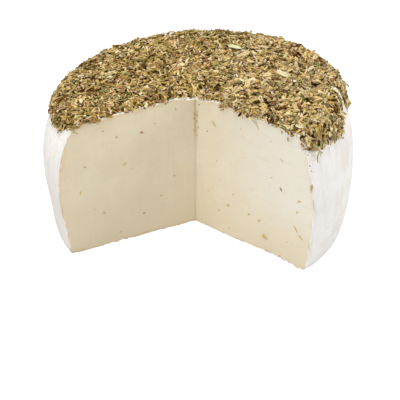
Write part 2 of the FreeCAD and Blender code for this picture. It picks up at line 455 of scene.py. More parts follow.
@dataclass(frozen=True)
class PasteFinish:
    """Cream paste, cut with a knife: a white skin line, a peach band under it and fine streaks.

    Paler further out and higher up, deeper cream at the foot and darker where the cuts meet: painted light
    and shade.
    """

    cream: Colour = srgb(236, 224, 196)
    # Deeper cream: real mottle and streaks, and painted shade towards the foot.
    deep: Colour = srgb(228, 214, 183)
    pale: Colour = srgb(243, 237, 224)
    # Painted shade colour for the corner where the two cuts meet.
    corner_shade: Colour = srgb(196, 178, 132)
    freckle: Colour = srgb(216, 196, 158)
    peach: Colour = srgb(232, 203, 164)
    skin: Colour = srgb(246, 241, 233)
    crust: Colour = srgb(206, 176, 134)
    upright: tuple[float, float, float] = (1.0, 1.0, 0.04)
    level: tuple[float, float, float] = (0.35, 0.35, 1.0)
    streak_width: float = 1.5 * MM
    streak_depth: float = 0.2 * MM
    grain_width: float = 0.5 * MM
    grain_depth: float = 0.04 * MM
    corner_shade_reach: float = 1.7
    peach_reach: float = 2.6
    skin_reach: float = 0.55
    # Painted shade towards the foot reaches up to this height.
    foot_shade_height: float = 34 * MM
    crust_height: tuple[float, float] = (4.5 * MM, 2.2 * MM)

    def material(self) -> bpy.types.Material:
        """Builds the material.

        Returns:
            The material.
        """
        shader = Shader("cream_paste")
        axes = shader.split(shader.place)
        streaks = shader.noise(self.streak_width, 5, shader.stretched(self.upright), 0.65)
        colour = self.inside(shader, axes, streaks)
        colour = self.rim(shader, axes, colour)
        grain = shader.bump(shader.noise(self.grain_width, 3), self.grain_depth)
        return shader.dress(
            Base_Color=colour, Roughness=0.55, Specular_IOR_Level=0.35,
            Normal=shader.bump(streaks, self.streak_depth, grain),
            Subsurface_Weight=0.35, Subsurface_Radius=(1.0, 0.75, 0.45), Subsurface_Scale=2.5 * MM)

    def inside(self, shader: Shader, axes: bpy.types.bpy_prop_collection,
               streaks: bpy.types.NodeSocket) -> bpy.types.NodeSocket:
        """Colours the open face of a cut.

        Args:
            shader: The material's graph.
            axes: The place's coordinates.
            streaks: The knife's streaks.

        Returns:
            The colour.
        """
        mottle = shader.noise(13 * MM, 3)
        colour = shader.blend(shader.step(mottle, 0.35, 0.7, 0.0, 0.6), self.cream, self.deep)
        colour = shader.blend(shader.step(streaks, 0.42, 0.75, 0.0, 0.3), colour, self.deep)
        # Painted light: paler further out from the tip and higher up, so darker near the tip and the foot.
        outer = shader.maths("MULTIPLY", shader.step(axes["X"], -12 * MM, 58 * MM),
                             shader.step(axes["Z"], 4 * MM, 36 * MM, 0.35, 1.0))
        colour = shader.blend(outer, colour, self.pale)
        # Painted shade: darker along the corner where the two cuts meet.
        wander = shader.step(streaks, 0.3, 0.7, -0.5, 0.5)
        near = shader.maths("ADD", shader.attribute(Mark.CORNER), wander)
        corner_shade_share = shader.maths("MULTIPLY", shader.step(near, self.corner_shade_reach, 0.2, 0.0, 0.6),
                               shader.step(axes["Z"], 40 * MM, 52 * MM, 0.25, 1.0))
        colour = shader.blend(corner_shade_share, colour, self.corner_shade)
        # Painted shade: deeper cream towards the foot.
        colour = shader.blend(shader.step(axes["Z"], self.foot_shade_height, 0.0, 0.0, 0.6), colour, self.deep)
        blotch = shader.noise(3 * MM, 4, shader.stretched(self.level), 0.6)
        colour = shader.blend(shader.step(blotch, 0.5, 0.7, 0.0, 0.28), colour, self.deep)
        freckles = shader.step(shader.noise(1.1 * MM, 2), 0.67, 0.74, 0.0, 0.5)
        return shader.blend(freckles, colour, self.freckle)

    def rim(self, shader: Shader, axes: bpy.types.bpy_prop_collection,
            colour: bpy.types.NodeSocket) -> bpy.types.NodeSocket:
        """Colours the paste's outline: the peach band, the skin line and the crust at the foot.

        Args:
            shader: The material's graph.
            axes: The place's coordinates.
            colour: The colour inside.

        Returns:
            The colour.
        """
        wander = shader.step(shader.noise(5 * MM, 3), 0.3, 0.7, -0.55, 0.55)
        depth = shader.maths("ADD", shader.attribute(Mark.DEPTH), wander)
        patchy = shader.step(shader.noise(9 * MM, 2), 0.38, 0.62, 0.15, 0.7)
        patchy = shader.maths("MULTIPLY", patchy, shader.step(axes["X"], 45 * MM, -30 * MM, 0.4, 1.0))
        band = shader.maths("MULTIPLY", shader.step(depth, self.peach_reach, 0.7), patchy)
        colour = shader.blend(band, colour, self.peach)
        skin = shader.blend(shader.step(axes["Z"], *self.crust_height), self.skin, self.crust)
        return shader.blend(shader.step(depth, self.skin_reach, 0.15), colour, skin)


@dataclass(frozen=True)
class HerbFinish:
    """Dry leaf: a run of tones from flake to flake, with a paler rib and pale, worn margins.

    Deep bits are darkened (painted shade); pale margins on top bits are partly painted highlight. Both grow
    rightwards.
    """

    name: str
    tones: tuple[Colour, ...]
    uneven: float = 0.12
    # Pale rib and margin colour: partly wear, partly painted highlight on bits near the top.
    worn: Colour = srgb(242, 224, 170)
    # Painted shade for bits deep in the coat.
    painted_shade: Colour = srgb(118, 80, 8)
    rightwards: tuple[float, float] = (-5 * MM, 45 * MM)
    wear_and_highlight_share: tuple[float, float] = (0.45, 0.9)
    painted_shade_share: tuple[float, float] = (0.54, 1.0)

    def material(self) -> bpy.types.Material:
        """Builds the material.

        Returns:
            The material.
        """
        shader = Shader(self.name)
        right = shader.split(shader.place)["X"]
        buried = shader.attribute(Mark.BURIED)
        patch = shader.step(shader.noise(0.9 * MM, 3), 0.3, 0.7, -self.uneven, self.uneven)
        colour = shader.ramp(shader.maths("ADD", shader.attribute(Mark.TONE), patch), self.tones)
        # Partly painted highlight: pale rib and margins, only on bits near the top.
        colour = shader.blend(self.wear_and_highlight(shader, right, buried), colour, self.worn)
        # Painted shade: bits deep in the coat are darkened, more towards the right.
        painted_shade_mask = shader.maths("MULTIPLY", shader.step(buried, 0.25, 1.0),
                            shader.step(right, *self.rightwards, *self.painted_shade_share))
        colour = shader.blend(painted_shade_mask, colour, self.painted_shade, "MULTIPLY")
        grain = shader.bump(shader.noise(0.35 * MM, 3), 0.06 * MM)
        return shader.dress(Base_Color=colour, Roughness=0.7, Specular_IOR_Level=0.03, Normal=grain)

    def wear_and_highlight(self, shader: Shader, right: bpy.types.NodeSocket,
             buried: bpy.types.NodeSocket) -> bpy.types.NodeSocket:
        """How much pale rib and margin a bit shows: partly wear, partly painted highlight on top of the coat.

        Args:
            shader: The material's graph.
            right: How far to the right it is.
            buried: How deep in the coat it lies, 0 to 1.

        Returns:
            The share of the worn colour.
        """
        rib = shader.maths("ABSOLUTE", shader.maths("SUBTRACT", shader.own_map()["Y"], 0.25))
        lines = shader.maths("ADD", shader.step(rib, 0.05, 0.0), shader.step(rib, 0.19, 0.25))
        # Painted highlight share: more towards the right, and only on bits near the top.
        share = shader.maths("MULTIPLY", shader.step(right, *self.rightwards, *self.wear_and_highlight_share),
                             shader.step(buried, 0.7, 0.1))
        return shader.maths("MULTIPLY", lines, share)


@dataclass(frozen=True)
class BedFinish:
    """Fine crumbs packed under the flakes, darker than them: partly painted shade, with painted shade between
    crumbs.
    """

    # Dark tones: partly the crumbs' own colour, partly painted shade for the depth of the coat.
    tones: tuple[Colour, ...] = (
        srgb(48, 32, 6), srgb(92, 66, 22), srgb(76, 60, 18), srgb(126, 94, 44), srgb(96, 62, 24))
    # Painted shade between the crumbs.
    gap: Colour = srgb(46, 30, 6)
    crumb_width: float = 0.9 * MM
    crumb_depth: float = 0.3 * MM

    def material(self) -> bpy.types.Material:
        """Builds the material.

        Returns:
            The material.
        """
        shader = Shader("herb_bed")
        crumbs = shader.cells(self.crumb_width)
        from_middle = crumbs.outputs["Distance"]
        pick = shader.feed(shader.node("ShaderNodeSeparateColor"), Color=crumbs.outputs["Color"])
        colour = shader.ramp(pick.outputs["Red"], self.tones)
        # Painted shade towards the edges of each crumb.
        colour = shader.blend(shader.step(from_middle, 0.3, 0.62, 0.0, 0.6), colour, self.gap)
        relief = shader.bump(from_middle, self.crumb_depth)
        return shader.dress(Base_Color=colour, Roughness=0.9, Specular_IOR_Level=0.05, Normal=relief)


@dataclass(frozen=True)
class FleckFinish:
    """Herb bits soaked into the paste: their colour fades out towards their rims."""

    tones: tuple[Colour, ...] = (
        srgb(228, 206, 160), srgb(216, 187, 126), srgb(198, 171, 110), srgb(146, 117, 78), srgb(196, 134, 98))
    paste: Colour = srgb(236, 225, 201)

    def material(self) -> bpy.types.Material:
        """Builds the material.

        Returns:
            The material.
        """
        shader = Shader("fleck")
        colour = shader.ramp(shader.attribute(Mark.TONE), self.tones)
        wander = shader.step(shader.noise(0.6 * MM, 3), 0.3, 0.7, -0.14, 0.14)
        rim = shader.maths("ADD", shader.own_map()["X"], wander)
        colour = shader.blend(shader.step(rim, 0.24, 0.52, 0.0, 0.9), colour, self.paste)
        return shader.dress(Base_Color=colour, Roughness=0.8, Specular_IOR_Level=0.2)


# ------------------------------------------------------------- mesh patches


class Skin(IntEnum):
    """Which of the cheese's two finishes a face wears."""

    RIND = 0
    PASTE = 1


@dataclass
class Patch:
    """A grid of points that becomes a sheet of four-sided faces."""

    points: np.ndarray
    skin: Skin = Skin.RIND
    marks: np.ndarray | None = None


@dataclass
class Stitch:
    """A coarse line of points and a finer one beside it, to be joined by triangles."""

    coarse: np.ndarray
    fine: np.ndarray


def stitch_faces(stitch: Stitch) -> list[np.ndarray]:
    """Corners of the triangles that join a coarse line to a finer one.

    Args:
        stitch: The two lines, with the same ends.

    Returns:
        Three points for each triangle.
    """
    ratio = (len(stitch.fine) - 1) // (len(stitch.coarse) - 1)
    faces = []
    for index in range(len(stitch.coarse) - 1):
        here, there = stitch.coarse[index], stitch.coarse[index + 1]
        start, half = index * ratio, ratio // 2
        for step in range(ratio):
            near = here if step < half else there
            faces.append(np.stack((near, stitch.fine[start + step], stitch.fine[start + step + 1])))
        faces.append(np.stack((here, stitch.fine[start + half], there)))
    return faces


def join_patches(name: str, patches: Sequence[Patch], mark: Mark,
                 stitches: Sequence[Stitch] = ()) -> bpy.types.Mesh:
    """Makes one closed mesh of patches that share their edges.

    Args:
        name: The mesh's name.
        patches: The sheets.
        mark: Name of the number that the patches carry.
        stitches: Pairs of lines to be joined by triangles.

    Returns:
        The mesh, with its doubles merged and its faces outwards.
    """
    mesh = bpy.data.meshes.new(name)
    build = bmesh.new()
    layer = build.verts.layers.float.new(mark.value)
    for patch in patches:
        rows, columns = patch.points.shape[:2]
        marks = patch.marks if patch.marks is not None else np.zeros((rows, columns))
        verts = []
        for place, value in zip(patch.points.reshape(-1, 3).tolist(), marks.reshape(-1).tolist()):
            vert = build.verts.new(place)
            vert[layer] = value
            verts.append(vert)
        for row in range(rows - 1):
            for column in range(columns - 1):
                start = row * columns + column
                corners = (start, start + 1, start + columns + 1, start + columns)
                face = build.faces.new([verts[index] for index in corners])
                face.material_index = int(patch.skin)
                face.smooth = True
    for stitch in stitches:
        for corners in stitch_faces(stitch):
            face = build.faces.new([build.verts.new(place) for place in corners.tolist()])
            face.smooth = True
    bmesh.ops.remove_doubles(build, verts=build.verts, dist=SAME_PLACE)
    bmesh.ops.dissolve_degenerate(build, edges=build.edges, dist=SAME_PLACE / 2)
    bmesh.ops.recalc_face_normals(build, faces=build.faces)
    build.to_mesh(mesh)
    build.free()
    return mesh


def read_floats(values: bpy.types.bpy_prop_collection, name: str, width: int = 1) -> np.ndarray:
    """Reads one property of every element of a mesh.

    Args:
        values: The elements.
        name: The property.
        width: How many numbers it has.

    Returns:
        The numbers, in rows where there is more than one to an element.
    """
    found = np.empty(len(values) * width, np.float32)
    values.foreach_get(name, found)
    return found.reshape(-1, width).astype(float) if width > 1 else found


def new_piece(name: str, mesh: bpy.types.Mesh, replaced: str,
              materials: Sequence[bpy.types.Material] = ()) -> bpy.types.Object:
    """Puts a finished mesh into the scene as a piece of the cheese.

    Args:
        name: The piece's name.
        mesh: Its mesh, in place.
        replaced: The CAD node that it stands for.
        materials: Materials that the mesh still lacks, in slot order.

    Returns:
        The piece.
    """
    piece = bpy.data.objects.new(name, mesh)
    bpy.context.scene.collection.objects.link(piece)
    for material in materials:
        mesh.materials.append(material)
    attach(piece, BODY)
    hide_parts(replaced)
    LOG.info("%s: %d triangles", name, sum(len(face.vertices) - 2 for face in mesh.polygons))
    return piece


# --------------------------------------------------------------- wheel's form


def surface_of(mesh: bpy.types.Mesh) -> BVHTree:
    """A mesh's surface, for rays to be cast at."""
    corners = [vertex.co.copy() for vertex in mesh.vertices]
    return BVHTree.FromPolygons(corners, [tuple(face.vertices) for face in mesh.polygons])


@dataclass
class WheelForm:
    """Where the wheel's surfaces lie, sampled along rays from the tip of the cut."""

    tip: tuple[float, float] = (-0.5 * MM, -6.7 * MM)
    cut_angle: float = 112.1
    turns: int = 381
    side_rows: int = 112
    top_columns: int = 62
    corner_reach: float = 5.5 * MM
    fan_rays: int = 200
    sag: float = 1.9 * MM
    sag_bearing: float = 138.0
    sag_spread: float = 42.0
    draw_in: float = 1.6 * MM
    draw_in_bearing: float = 172.0
    draw_in_spread: float = 27.0
    soft_reach: tuple[float, float] = (34 * MM, 62 * MM)
    soft_height: tuple[float, float] = (38 * MM, 62 * MM)
    ease: float = 2.2 * MM
    coarse: int = 10
    gather: float = 0.85
    nudge: float = 0.02
    foot_probe: float = 3 * MM
    rim_probe: float = 8 * MM
    clear: float = 10 * MM
    bearings: np.ndarray = field(init=False)
    side: np.ndarray = field(init=False)
    top: np.ndarray = field(init=False)
    base: np.ndarray = field(init=False)

    def __post_init__(self) -> None:
        """Reads the CAD wheel and samples it."""
        self.tree = surface_of(frame["nodes"][CHEESE_NODE].data)
        self.low, self.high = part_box(CHEESE_NODE)
        self.middle = (self.low.z + self.high.z) / 2
        half = math.radians(self.cut_angle) / 2
        start = -math.pi / 2 + half
        self.bearings = np.linspace(start, start + 2 * math.pi - 2 * half, self.turns)
        columns = [self.sample(bearing) for bearing in self.bearings]
        self.side = np.array([column[0] for column in columns])
        self.top = np.array([column[1] for column in columns])
        self.base = np.array([column[2] for column in columns])

    def along(self, bearing: float, reach: float, height: float) -> Vector:
        """The point at a distance from the tip, on a bearing and at a height."""
        x = self.tip[0] + reach * math.cos(bearing)
        return Vector((x, self.tip[1] + reach * math.sin(bearing), height))

    def reach_at(self, bearing: float, height: float) -> float:
        """How far the side is from the tip, on a bearing and at a height.

        Args:
            bearing: Angle from +X in radians.
            height: Height in metres.

        Returns:
            The distance in metres.
        """
        start = 1 * MM
        return self.tree.ray_cast(self.along(bearing, start, height), heading(bearing))[3] + start

    def sample(self, bearing: float) -> tuple[np.ndarray, np.ndarray, np.ndarray]:
        """Samples the wheel's outline on one bearing.

        Args:
            bearing: Angle from +X in radians.

        Returns:
            The side from base to top, the top from tip to side and the base from tip to side.
        """
        inner = self.nudge * (1 if bearing < math.pi / 2 else -1)
        ray = bearing + math.radians(inner)
        foot = self.reach_at(ray, self.foot_probe) - 0.7 * self.corner_reach
        rim = self.reach_at(ray, self.high.z - self.rim_probe) - self.corner_reach - 2 * MM
        hub = self.along(ray, 0.5 * rim, self.middle)
        crown = self.drop(ray, rim)
        low = math.atan2(self.low.z - self.middle, foot - 0.5 * rim)
        high = math.atan2(crown - self.middle, rim - 0.5 * rim)
        outline = []
        for pitch in np.linspace(low, high, self.fan_rays):
            towards = Vector((
                math.cos(ray) * math.cos(pitch), math.sin(ray) * math.cos(pitch), math.sin(pitch)))
            hit = self.tree.ray_cast(hub, towards)[0]
            outline.append((math.hypot(hit.x - self.tip[0], hit.y - self.tip[1]), hit.z))
        side = spaced(np.array(outline), self.side_rows)
        side[0] = (foot, self.low.z)
        side[-1] = (rim, crown)
        share = np.linspace(0, 1, self.top_columns) ** self.gather
        heights = [self.eased(ray, reach) for reach in share * rim]
        heights[-1] = crown
        top = np.column_stack((share * rim, heights))
        base = np.column_stack((share * foot, np.full(self.top_columns, self.low.z)))
        return tuple(self.sagged(self.turned(line, bearing)) for line in (side, top, base))

    def eased(self, bearing: float, reach: float) -> float:
        """Height of the crown at a place, with the crease round the sunk tip eased out.

        Args:
            bearing: Angle from +X in radians.
            reach: Distance from the tip in metres.

        Returns:
            The height in metres.
        """
        spread = self.ease * float(smoothstep(20 * MM, 12 * MM, reach))
        near = [max(abs(reach + step * spread), 0.2 * MM) for step in (-1.0, -0.5, 0.0, 0.5, 1.0)]
        return sum(self.drop(bearing, place) for place in near) / len(near)

    def sagged(self, line: np.ndarray) -> np.ndarray:
        """Lets the shoulder hang and draw in a little at the back and left, where the wheel settled.

        Args:
            line: Points, one a row.

        Returns:
            The moved points.
        """
        turn = np.degrees(np.arctan2(line[:, 1], line[:, 0]))
        reach = np.hypot(line[:, 0], line[:, 1])
        share = smoothstep(*self.soft_reach, reach) * smoothstep(*self.soft_height, line[:, 2])
        sunk = bump_of(turn, self.sag_bearing, self.sag_spread)
        drawn = bump_of(turn, self.draw_in_bearing, self.draw_in_spread)
        moved = line.copy()
        moved[:, 2] -= self.sag * sunk * share
        pull = self.draw_in * drawn * share / np.maximum(reach, 1 * MM)
        moved[:, :2] -= line[:, :2] * pull[:, None]
        return moved

    def drop(self, bearing: float, reach: float) -> float:
        """Height of the crown at a place."""
        above = self.along(bearing, reach, self.high.z + self.clear)
        return self.tree.ray_cast(above, Vector((0, 0, -1)))[0].z

    def turned(self, line: np.ndarray, bearing: float) -> np.ndarray:
        """Carries a line of distances and heights out along a bearing.

        Args:
            line: Distances from the tip and heights, one pair a row.
            bearing: Angle from +X in radians.

        Returns:
            The points.
        """
        x = self.tip[0] + line[:, 0] * math.cos(bearing)
        y = self.tip[1] + line[:, 0] * math.sin(bearing)
        return np.column_stack((x, y, line[:, 1]))

    def from_cut(self, points: np.ndarray, cut: Cut) -> tuple[np.ndarray, np.ndarray]:
        """Where points of the cheese lie beside one cut.

        Args:
            points: Places, one a row.
            cut: Which cut.

        Returns:
            How far out from the tip they are along the cut, and how far from the cut.
        """
        bearing = self.bearings[cut]
        x, y = points[:, 0] - self.tip[0], points[:, 1] - self.tip[1]
        along = x * math.cos(bearing) + y * math.sin(bearing)
        aside = np.abs(x * math.sin(bearing) - y * math.cos(bearing))
        return np.maximum(along, 0.0), np.where(along < 0, np.hypot(x, y), aside)

    def near_cuts(self, points: np.ndarray) -> np.ndarray:
        """How far points are from the nearer cut."""
        return np.minimum(self.from_cut(points, Cut.RIGHT)[1], self.from_cut(points, Cut.LEFT)[1])

    def face_normal(self, cut: Cut) -> Vector:
        """The way out of one cut face into the notch.

        Args:
            cut: Which cut.

        Returns:
            The unit direction.
        """
        bearing = self.bearings[cut]
        side = 1 if cut is Cut.RIGHT else -1
        return Vector((side * math.sin(bearing), -side * math.cos(bearing), 0))

    def on_cut(self, cut: Cut, along: float, height: float) -> Vector:
        """The place on a cut face's plane so many millimetres out from the tip and up."""
        tip = Vector((self.tip[0], self.tip[1], 0))
        return tip + heading(self.bearings[cut]) * along * MM + Vector((0, 0, height * MM))

    def on_top(self, x: float, y: float) -> tuple[Vector, Vector]:
        """The crown's surface at a place in metres, and the way out of it."""
        return self.tree.ray_cast(Vector((x, y, self.high.z + self.clear)), Vector((0, 0, -1)))[:2]

    def on_side(self, bearing: float, height: float) -> tuple[Vector, Vector]:
        """The side's surface at an angle in degrees and a height, and the way out of it."""
        out = heading(math.radians(bearing))
        return self.tree.ray_cast(out * (100 * MM) + Vector((0, 0, height)), -out)[:2]


def turn_from(turn: np.ndarray, bearing: float) -> np.ndarray:
    """The angles between some bearings and another one, -180 to 180 degrees."""
    return (turn - bearing + 180) % 360 - 180


def bump_of(turn: np.ndarray, bearing: float, spread: float) -> np.ndarray:
    """A smooth bump round a bearing.

    Args:
        turn: Angles in degrees.
        bearing: Where the bump is highest, in degrees.
        spread: How wide it is, in degrees.

    Returns:
        1 at the bearing, falling to 0 away from it.
    """
    return np.exp(-(turn_from(turn, bearing) / spread) ** 2)


def spaced(line: np.ndarray, count: int) -> np.ndarray:
    """Spreads points evenly along a line.

    Args:
        line: The line's points, one a row.
        count: How many points are wanted.

    Returns:
        The new points, with the same ends.
    """
    steps = np.linalg.norm(np.diff(line, axis=0), axis=1)
    travelled = np.concatenate(([0.0], np.cumsum(steps)))
    wanted = np.linspace(0, travelled[-1], count)
    return np.column_stack([np.interp(wanted, travelled, line[:, k]) for k in range(line.shape[1])])


# -------------------------------------------------------------------- cheese


@dataclass
class CheeseWheel:
    """Paste and rind: one closed body with a soft relief and slightly chipped edges."""

    form: WheelForm
    inner_columns: int = 16
    slump: float = 0.28 * MM
    slump_width: float = 24 * MM
    crease: float = 0.16 * MM
    crease_width: float = 3.5 * MM
    pucker: float = 0.07 * MM
    pucker_width: float = 1.4 * MM
    ripple: float = 0.05 * MM
    ripple_width: float = 5 * MM
    chip: float = 1.2 * MM
    chip_width: float = 2.6 * MM
    bow: float = 1.5 * MM
    bow_middle: float = 44 * MM
    bow_spread: float = 17 * MM
    edge_round: float = 0.3 * MM

    def build(self) -> bpy.types.Object:
        """Builds the cheese and dresses it.

        Returns:
            The piece.
        """
        form, inner = self.form, self.inner_columns
        patches = [Patch(form.side), *(self.cut_face(cut) for cut in Cut)]
        stitches = []
        for sheet in (form.top, form.base):
            fan = sheet[::form.coarse]
            patches += [Patch(sheet[:, inner:]), Patch(fan[:, :inner])]
            stitches.append(Stitch(fan[:, inner - 1], sheet[:, inner]))
        mesh = join_patches("cheese_body", patches, Mark.DEPTH, stitches)
        self.soften_edges(mesh)
        self.carve(mesh)
        materials = [RindFinish().material(), PasteFinish().material()]
        return new_piece("cheese_body", mesh, CHEESE_NODE, materials)

    def cut_face(self, cut: Cut) -> Patch:
        """One cut face, with the distance to its outline stored in millimetres.

        Args:
            cut: Which cut.

        Returns:
            The patch.
        """
        form = self.form
        side, top, base = form.side[cut], form.top[cut], form.base[cut]
        rise = (side[:, 2] - side[0, 2]) / (side[-1, 2] - side[0, 2])
        tip = np.column_stack((
            np.full(len(side), top[0, 0]), np.full(len(side), top[0, 1]),
            base[0, 2] + rise * (top[0, 2] - base[0, 2])))
        out = np.linspace(0, 1, len(top)) ** form.gather
        up = rise[:, None, None]
        across = out[None, :, None]
        sides = (1 - across) * tip[:, None] + across * side[:, None]
        ends = (1 - up) * base[None] + up * top[None]
        corners = ((1 - up) * ((1 - across) * base[0] + across * base[-1])
                   + up * ((1 - across) * top[0] + across * top[-1]))
        points = sides + ends - corners
        outline = np.concatenate((base, side, top[::-1]))
        gap = np.full(points.shape[:2], np.inf)
        for place in outline[::2]:
            gap = np.minimum(gap, np.linalg.norm(points - place, axis=2))
        gap[0], gap[-1], gap[:, -1] = 0, 0, 0
        return Patch(points, Skin.PASTE, gap / MM)

    def soften_edges(self, mesh: bpy.types.Mesh) -> None:
        """Rounds the sharp outer edges of the cuts a little.

        Args:
            mesh: The cheese's mesh, changed in place.
        """
        build = bmesh.new()
        build.from_mesh(mesh)
        sharp = []
        for edge in build.edges:
            if len(edge.link_faces) == 2 and edge.calc_face_angle_signed(0) > math.radians(50):
                sharp.append(edge)
        rounded = bmesh.ops.bevel(build, geom=sharp, offset=self.edge_round, segments=2, profile=0.5,
                                  affect="EDGES", clamp_overlap=True)["faces"]
        for face in rounded:
            if face.calc_center_median().z < 2 * MM:
                face.material_index = int(Skin.PASTE)
        for face in build.faces:
            face.smooth = True
        build.to_mesh(mesh)
        build.free()

    def carve(self, mesh: bpy.types.Mesh) -> None:
        """Moves the points for slump, creases, puckers and chipped cut edges.

        Args:
            mesh: The cheese's mesh, changed in place.
        """
        place = read_floats(mesh.vertices, "co", 3)
        normal = read_floats(mesh.vertex_normals, "vector", 3)
        depth = read_floats(mesh.attributes[Mark.DEPTH.value].data, "value")
        corner = np.hypot(place[:, 0] - self.form.tip[0], place[:, 1] - self.form.tip[1]) / MM
        marks = mesh.attributes.new(Mark.CORNER.value, "FLOAT", "POINT")
        marks.data.foreach_set("value", corner.astype(np.float32))
        rind = smoothstep(1.5, 0.2, depth)
        lifted = smoothstep(0.2 * MM, 3 * MM, place[:, 2])
        upright = place * np.array((1.0, 1.0, 0.22))
        move = self.slump * fractal(place, self.slump_width, 2, 3.1)
        move += rind * self.crease * fractal(upright, self.crease_width, 3, 8.4)
        move += rind * self.pucker * fractal(place, self.pucker_width, 2, 5.2)
        move += (1 - rind) * self.ripple * fractal(upright, self.ripple_width, 2, 1.7)
        place += normal * (move * lifted)[:, None]
        place[:, 2] += self.foot_lift(place)
        mesh.vertices.foreach_set("co", place.astype(np.float32).reshape(-1))
        mesh.update()

    def foot_lift(self, place: np.ndarray) -> np.ndarray:
        """How far the lower edge of the cuts is worn up: a long bow on the right, and chips.

        Args:
            place: Points, one a row.

        Returns:
            Heights in metres.
        """
        along, right = self.form.from_cut(place, Cut.RIGHT)
        low = smoothstep(7 * MM, 0.5 * MM, place[:, 2])
        bow = self.bow * np.exp(-((along - self.bow_middle) / self.bow_spread) ** 2)
        bow *= smoothstep(5 * MM, 0.5 * MM, right)
        bite = np.clip(fractal(place, self.chip_width, 3, 11.0) + 0.1, 0, 1)
        bite *= self.chip * smoothstep(3 * MM, 0.3 * MM, self.form.near_cuts(place))
        return low * bow + smoothstep(2.6 * MM, 0.3 * MM, place[:, 2]) * bite


# ------------------------------------------------------------------ herb coat


@dataclass(frozen=True)
class HemLift:
    """A stretch in which the hem runs higher, or lower where the height is below zero."""

    bearing: float
    height: float
    spread: float


@dataclass
class Hem:
    """Where the coat ends: at a ragged edge on the side, at the cuts, and at one bare scrape.

    The strips say how wide the bare strip beside the right-hand and the left-hand cut is, at
    distances from the tip. The scrape runs from point to point, each with its X, Y, Z and half
    width. Both are in millimetres.
    """

    form: WheelForm
    rim_height: float = 66.9 * MM
    tilt: float = 2.0
    tilt_bearing: float = -36.5
    rim_radius: float = 68 * MM
    drop: float = 9.0 * MM
    ragged: float = 1.5 * MM
    ragged_width: float = 9 * MM
    tuft_width: float = 3 * MM
    wander: float = 0.9 * MM
    wander_width: float = 3.2 * MM
    lifts: tuple[HemLift, ...] = (HemLift(-41.0, 6.0 * MM, 3.0), HemLift(-15.0, -2.2 * MM, 2.5),
                                  HemLift(-141.0, 7.0 * MM, 15.0))
    strips: tuple[tuple[tuple[float, float], ...], ...] = (
        ((0, 2.3), (5, 2.0), (9, 1.0), (13, 0.1), (17, -0.2), (26, -0.6), (38, -0.6), (41, 0.7),
         (46, 0.5), (49, -0.8), (90, -0.8)),
        ((0, 2.4), (5, 2.8), (12, 2.2), (16, 1.0), (22, 0.4), (34, 0.5), (44, -0.1), (52, -0.5),
         (90, -0.6)),
    )
    scrape: tuple[tuple[float, float, float, float], ...] = (
        (61.0, 6.5, 68.6, 2.8), (64.4, 2.5, 66.4, 4.2), (66.3, -2.5, 62.4, 5.4), (67.2, -9.0, 60.0, 5.6))

    def depth(self, points: np.ndarray) -> np.ndarray:
        """How far points lie below the rim's own tilted plane.

        Args:
            points: Places, the last axis X, Y and Z.

        Returns:
            Depths in metres.
        """
        towards = math.radians(self.tilt_bearing)
        high_side = points[..., 0] * math.cos(towards) + points[..., 1] * math.sin(towards)
        return self.rim_height + math.tan(math.radians(self.tilt)) * high_side - points[..., 2]

    def reach(self, points: np.ndarray) -> np.ndarray:
        """How far down the coat hangs where points are.

        Args:
            points: Places, one a row.

        Returns:
            Depths below the rim in metres.
        """
        turn = np.arctan2(points[:, 1], points[:, 0])
        ring = np.column_stack((np.cos(turn), np.sin(turn), np.zeros(len(turn)))) * self.rim_radius
        reach = self.drop + self.ragged * fractal(ring, self.ragged_width, 3, 25.0)
        reach += 0.6 * self.ragged * fractal(ring, self.tuft_width, 2, 4.0)
        for lift in self.lifts:
            gap = turn_from(np.degrees(turn), lift.bearing)
            reach -= lift.height * np.exp(-np.abs(gap) / lift.spread)
        return reach

    def strip(self, along: np.ndarray, cut: Cut) -> np.ndarray:
        """Width of the bare strip beside a cut. Below zero the herbs hang over the edge.

        Args:
            along: Distances from the tip in metres.
            cut: Which cut.

        Returns:
            Widths in metres.
        """
        places, widths = zip(*self.strips[cut])
        return np.interp(along / MM, places, widths) * MM

    def beside_cuts(self, points: np.ndarray, sparse: float = 0.0) -> np.ndarray:
        """Share of the coat that the cuts leave at points.

        Args:
            points: Places, one a row.
            sparse: Share that still lies in the bare strips.

        Returns:
            Shares from 0 to 1.
        """
        wander = self.wander * fractal(points, self.wander_width, 2, 33.0)
        share = np.ones(len(points))
        for cut in Cut:
            along, aside = self.form.from_cut(points, cut)
            width = self.strip(along, cut) + wander
            left = smoothstep(width - 0.5 * MM, width + 0.5 * MM, aside)
            share *= np.maximum(left, sparse * smoothstep(0.2 * MM, 0.9 * MM, aside))
        return share

    def scraped(self, points: np.ndarray) -> np.ndarray:
        """Share of the coat that the bare scrape leaves at points.

        Args:
            points: Places, one a row.

        Returns:
            Shares from 0 to 1.
        """
        gap = np.full(len(points), np.inf)
        rough = 0.25 * fractal(points, 2.5 * MM, 2, 51.0)
        for start, end in zip(self.scrape, self.scrape[1:]):
            first = np.array(start) * MM
            step = np.array(end) * MM - first
            share = np.clip((points - first[:3]) @ step[:3] / (step[:3] @ step[:3]), 0, 1)
            reached = first + share[:, None] * step
            gap = np.minimum(gap, np.linalg.norm(points - reached[:, :3], axis=1) / reached[:, 3])
        return smoothstep(0.3, 1.0, gap + rough)

    def cover(self, points: np.ndarray, fade: float, sparse: float = 0.0) -> np.ndarray:
        """Share of the coat that is there at points: 1 on top, 0 below the hem.

        Args:
            points: Places, one a row.
            fade: Over what depth it thins out, in metres.
            sparse: Share that still lies in the bare strips beside the cuts.

        Returns:
            Shares from 0 to 1.
        """
        over = self.depth(points) - self.reach(points)
        share = smoothstep(fade / 2, -fade / 2, over)
        return share * self.beside_cuts(points, sparse) * self.scraped(points)


class Shape(Enum):
    """What kind of bit is strewn."""

    LEAF = "leaf"
    STALK = "stalk"
    CRUMB = "crumb"
    CHIP = "chip"


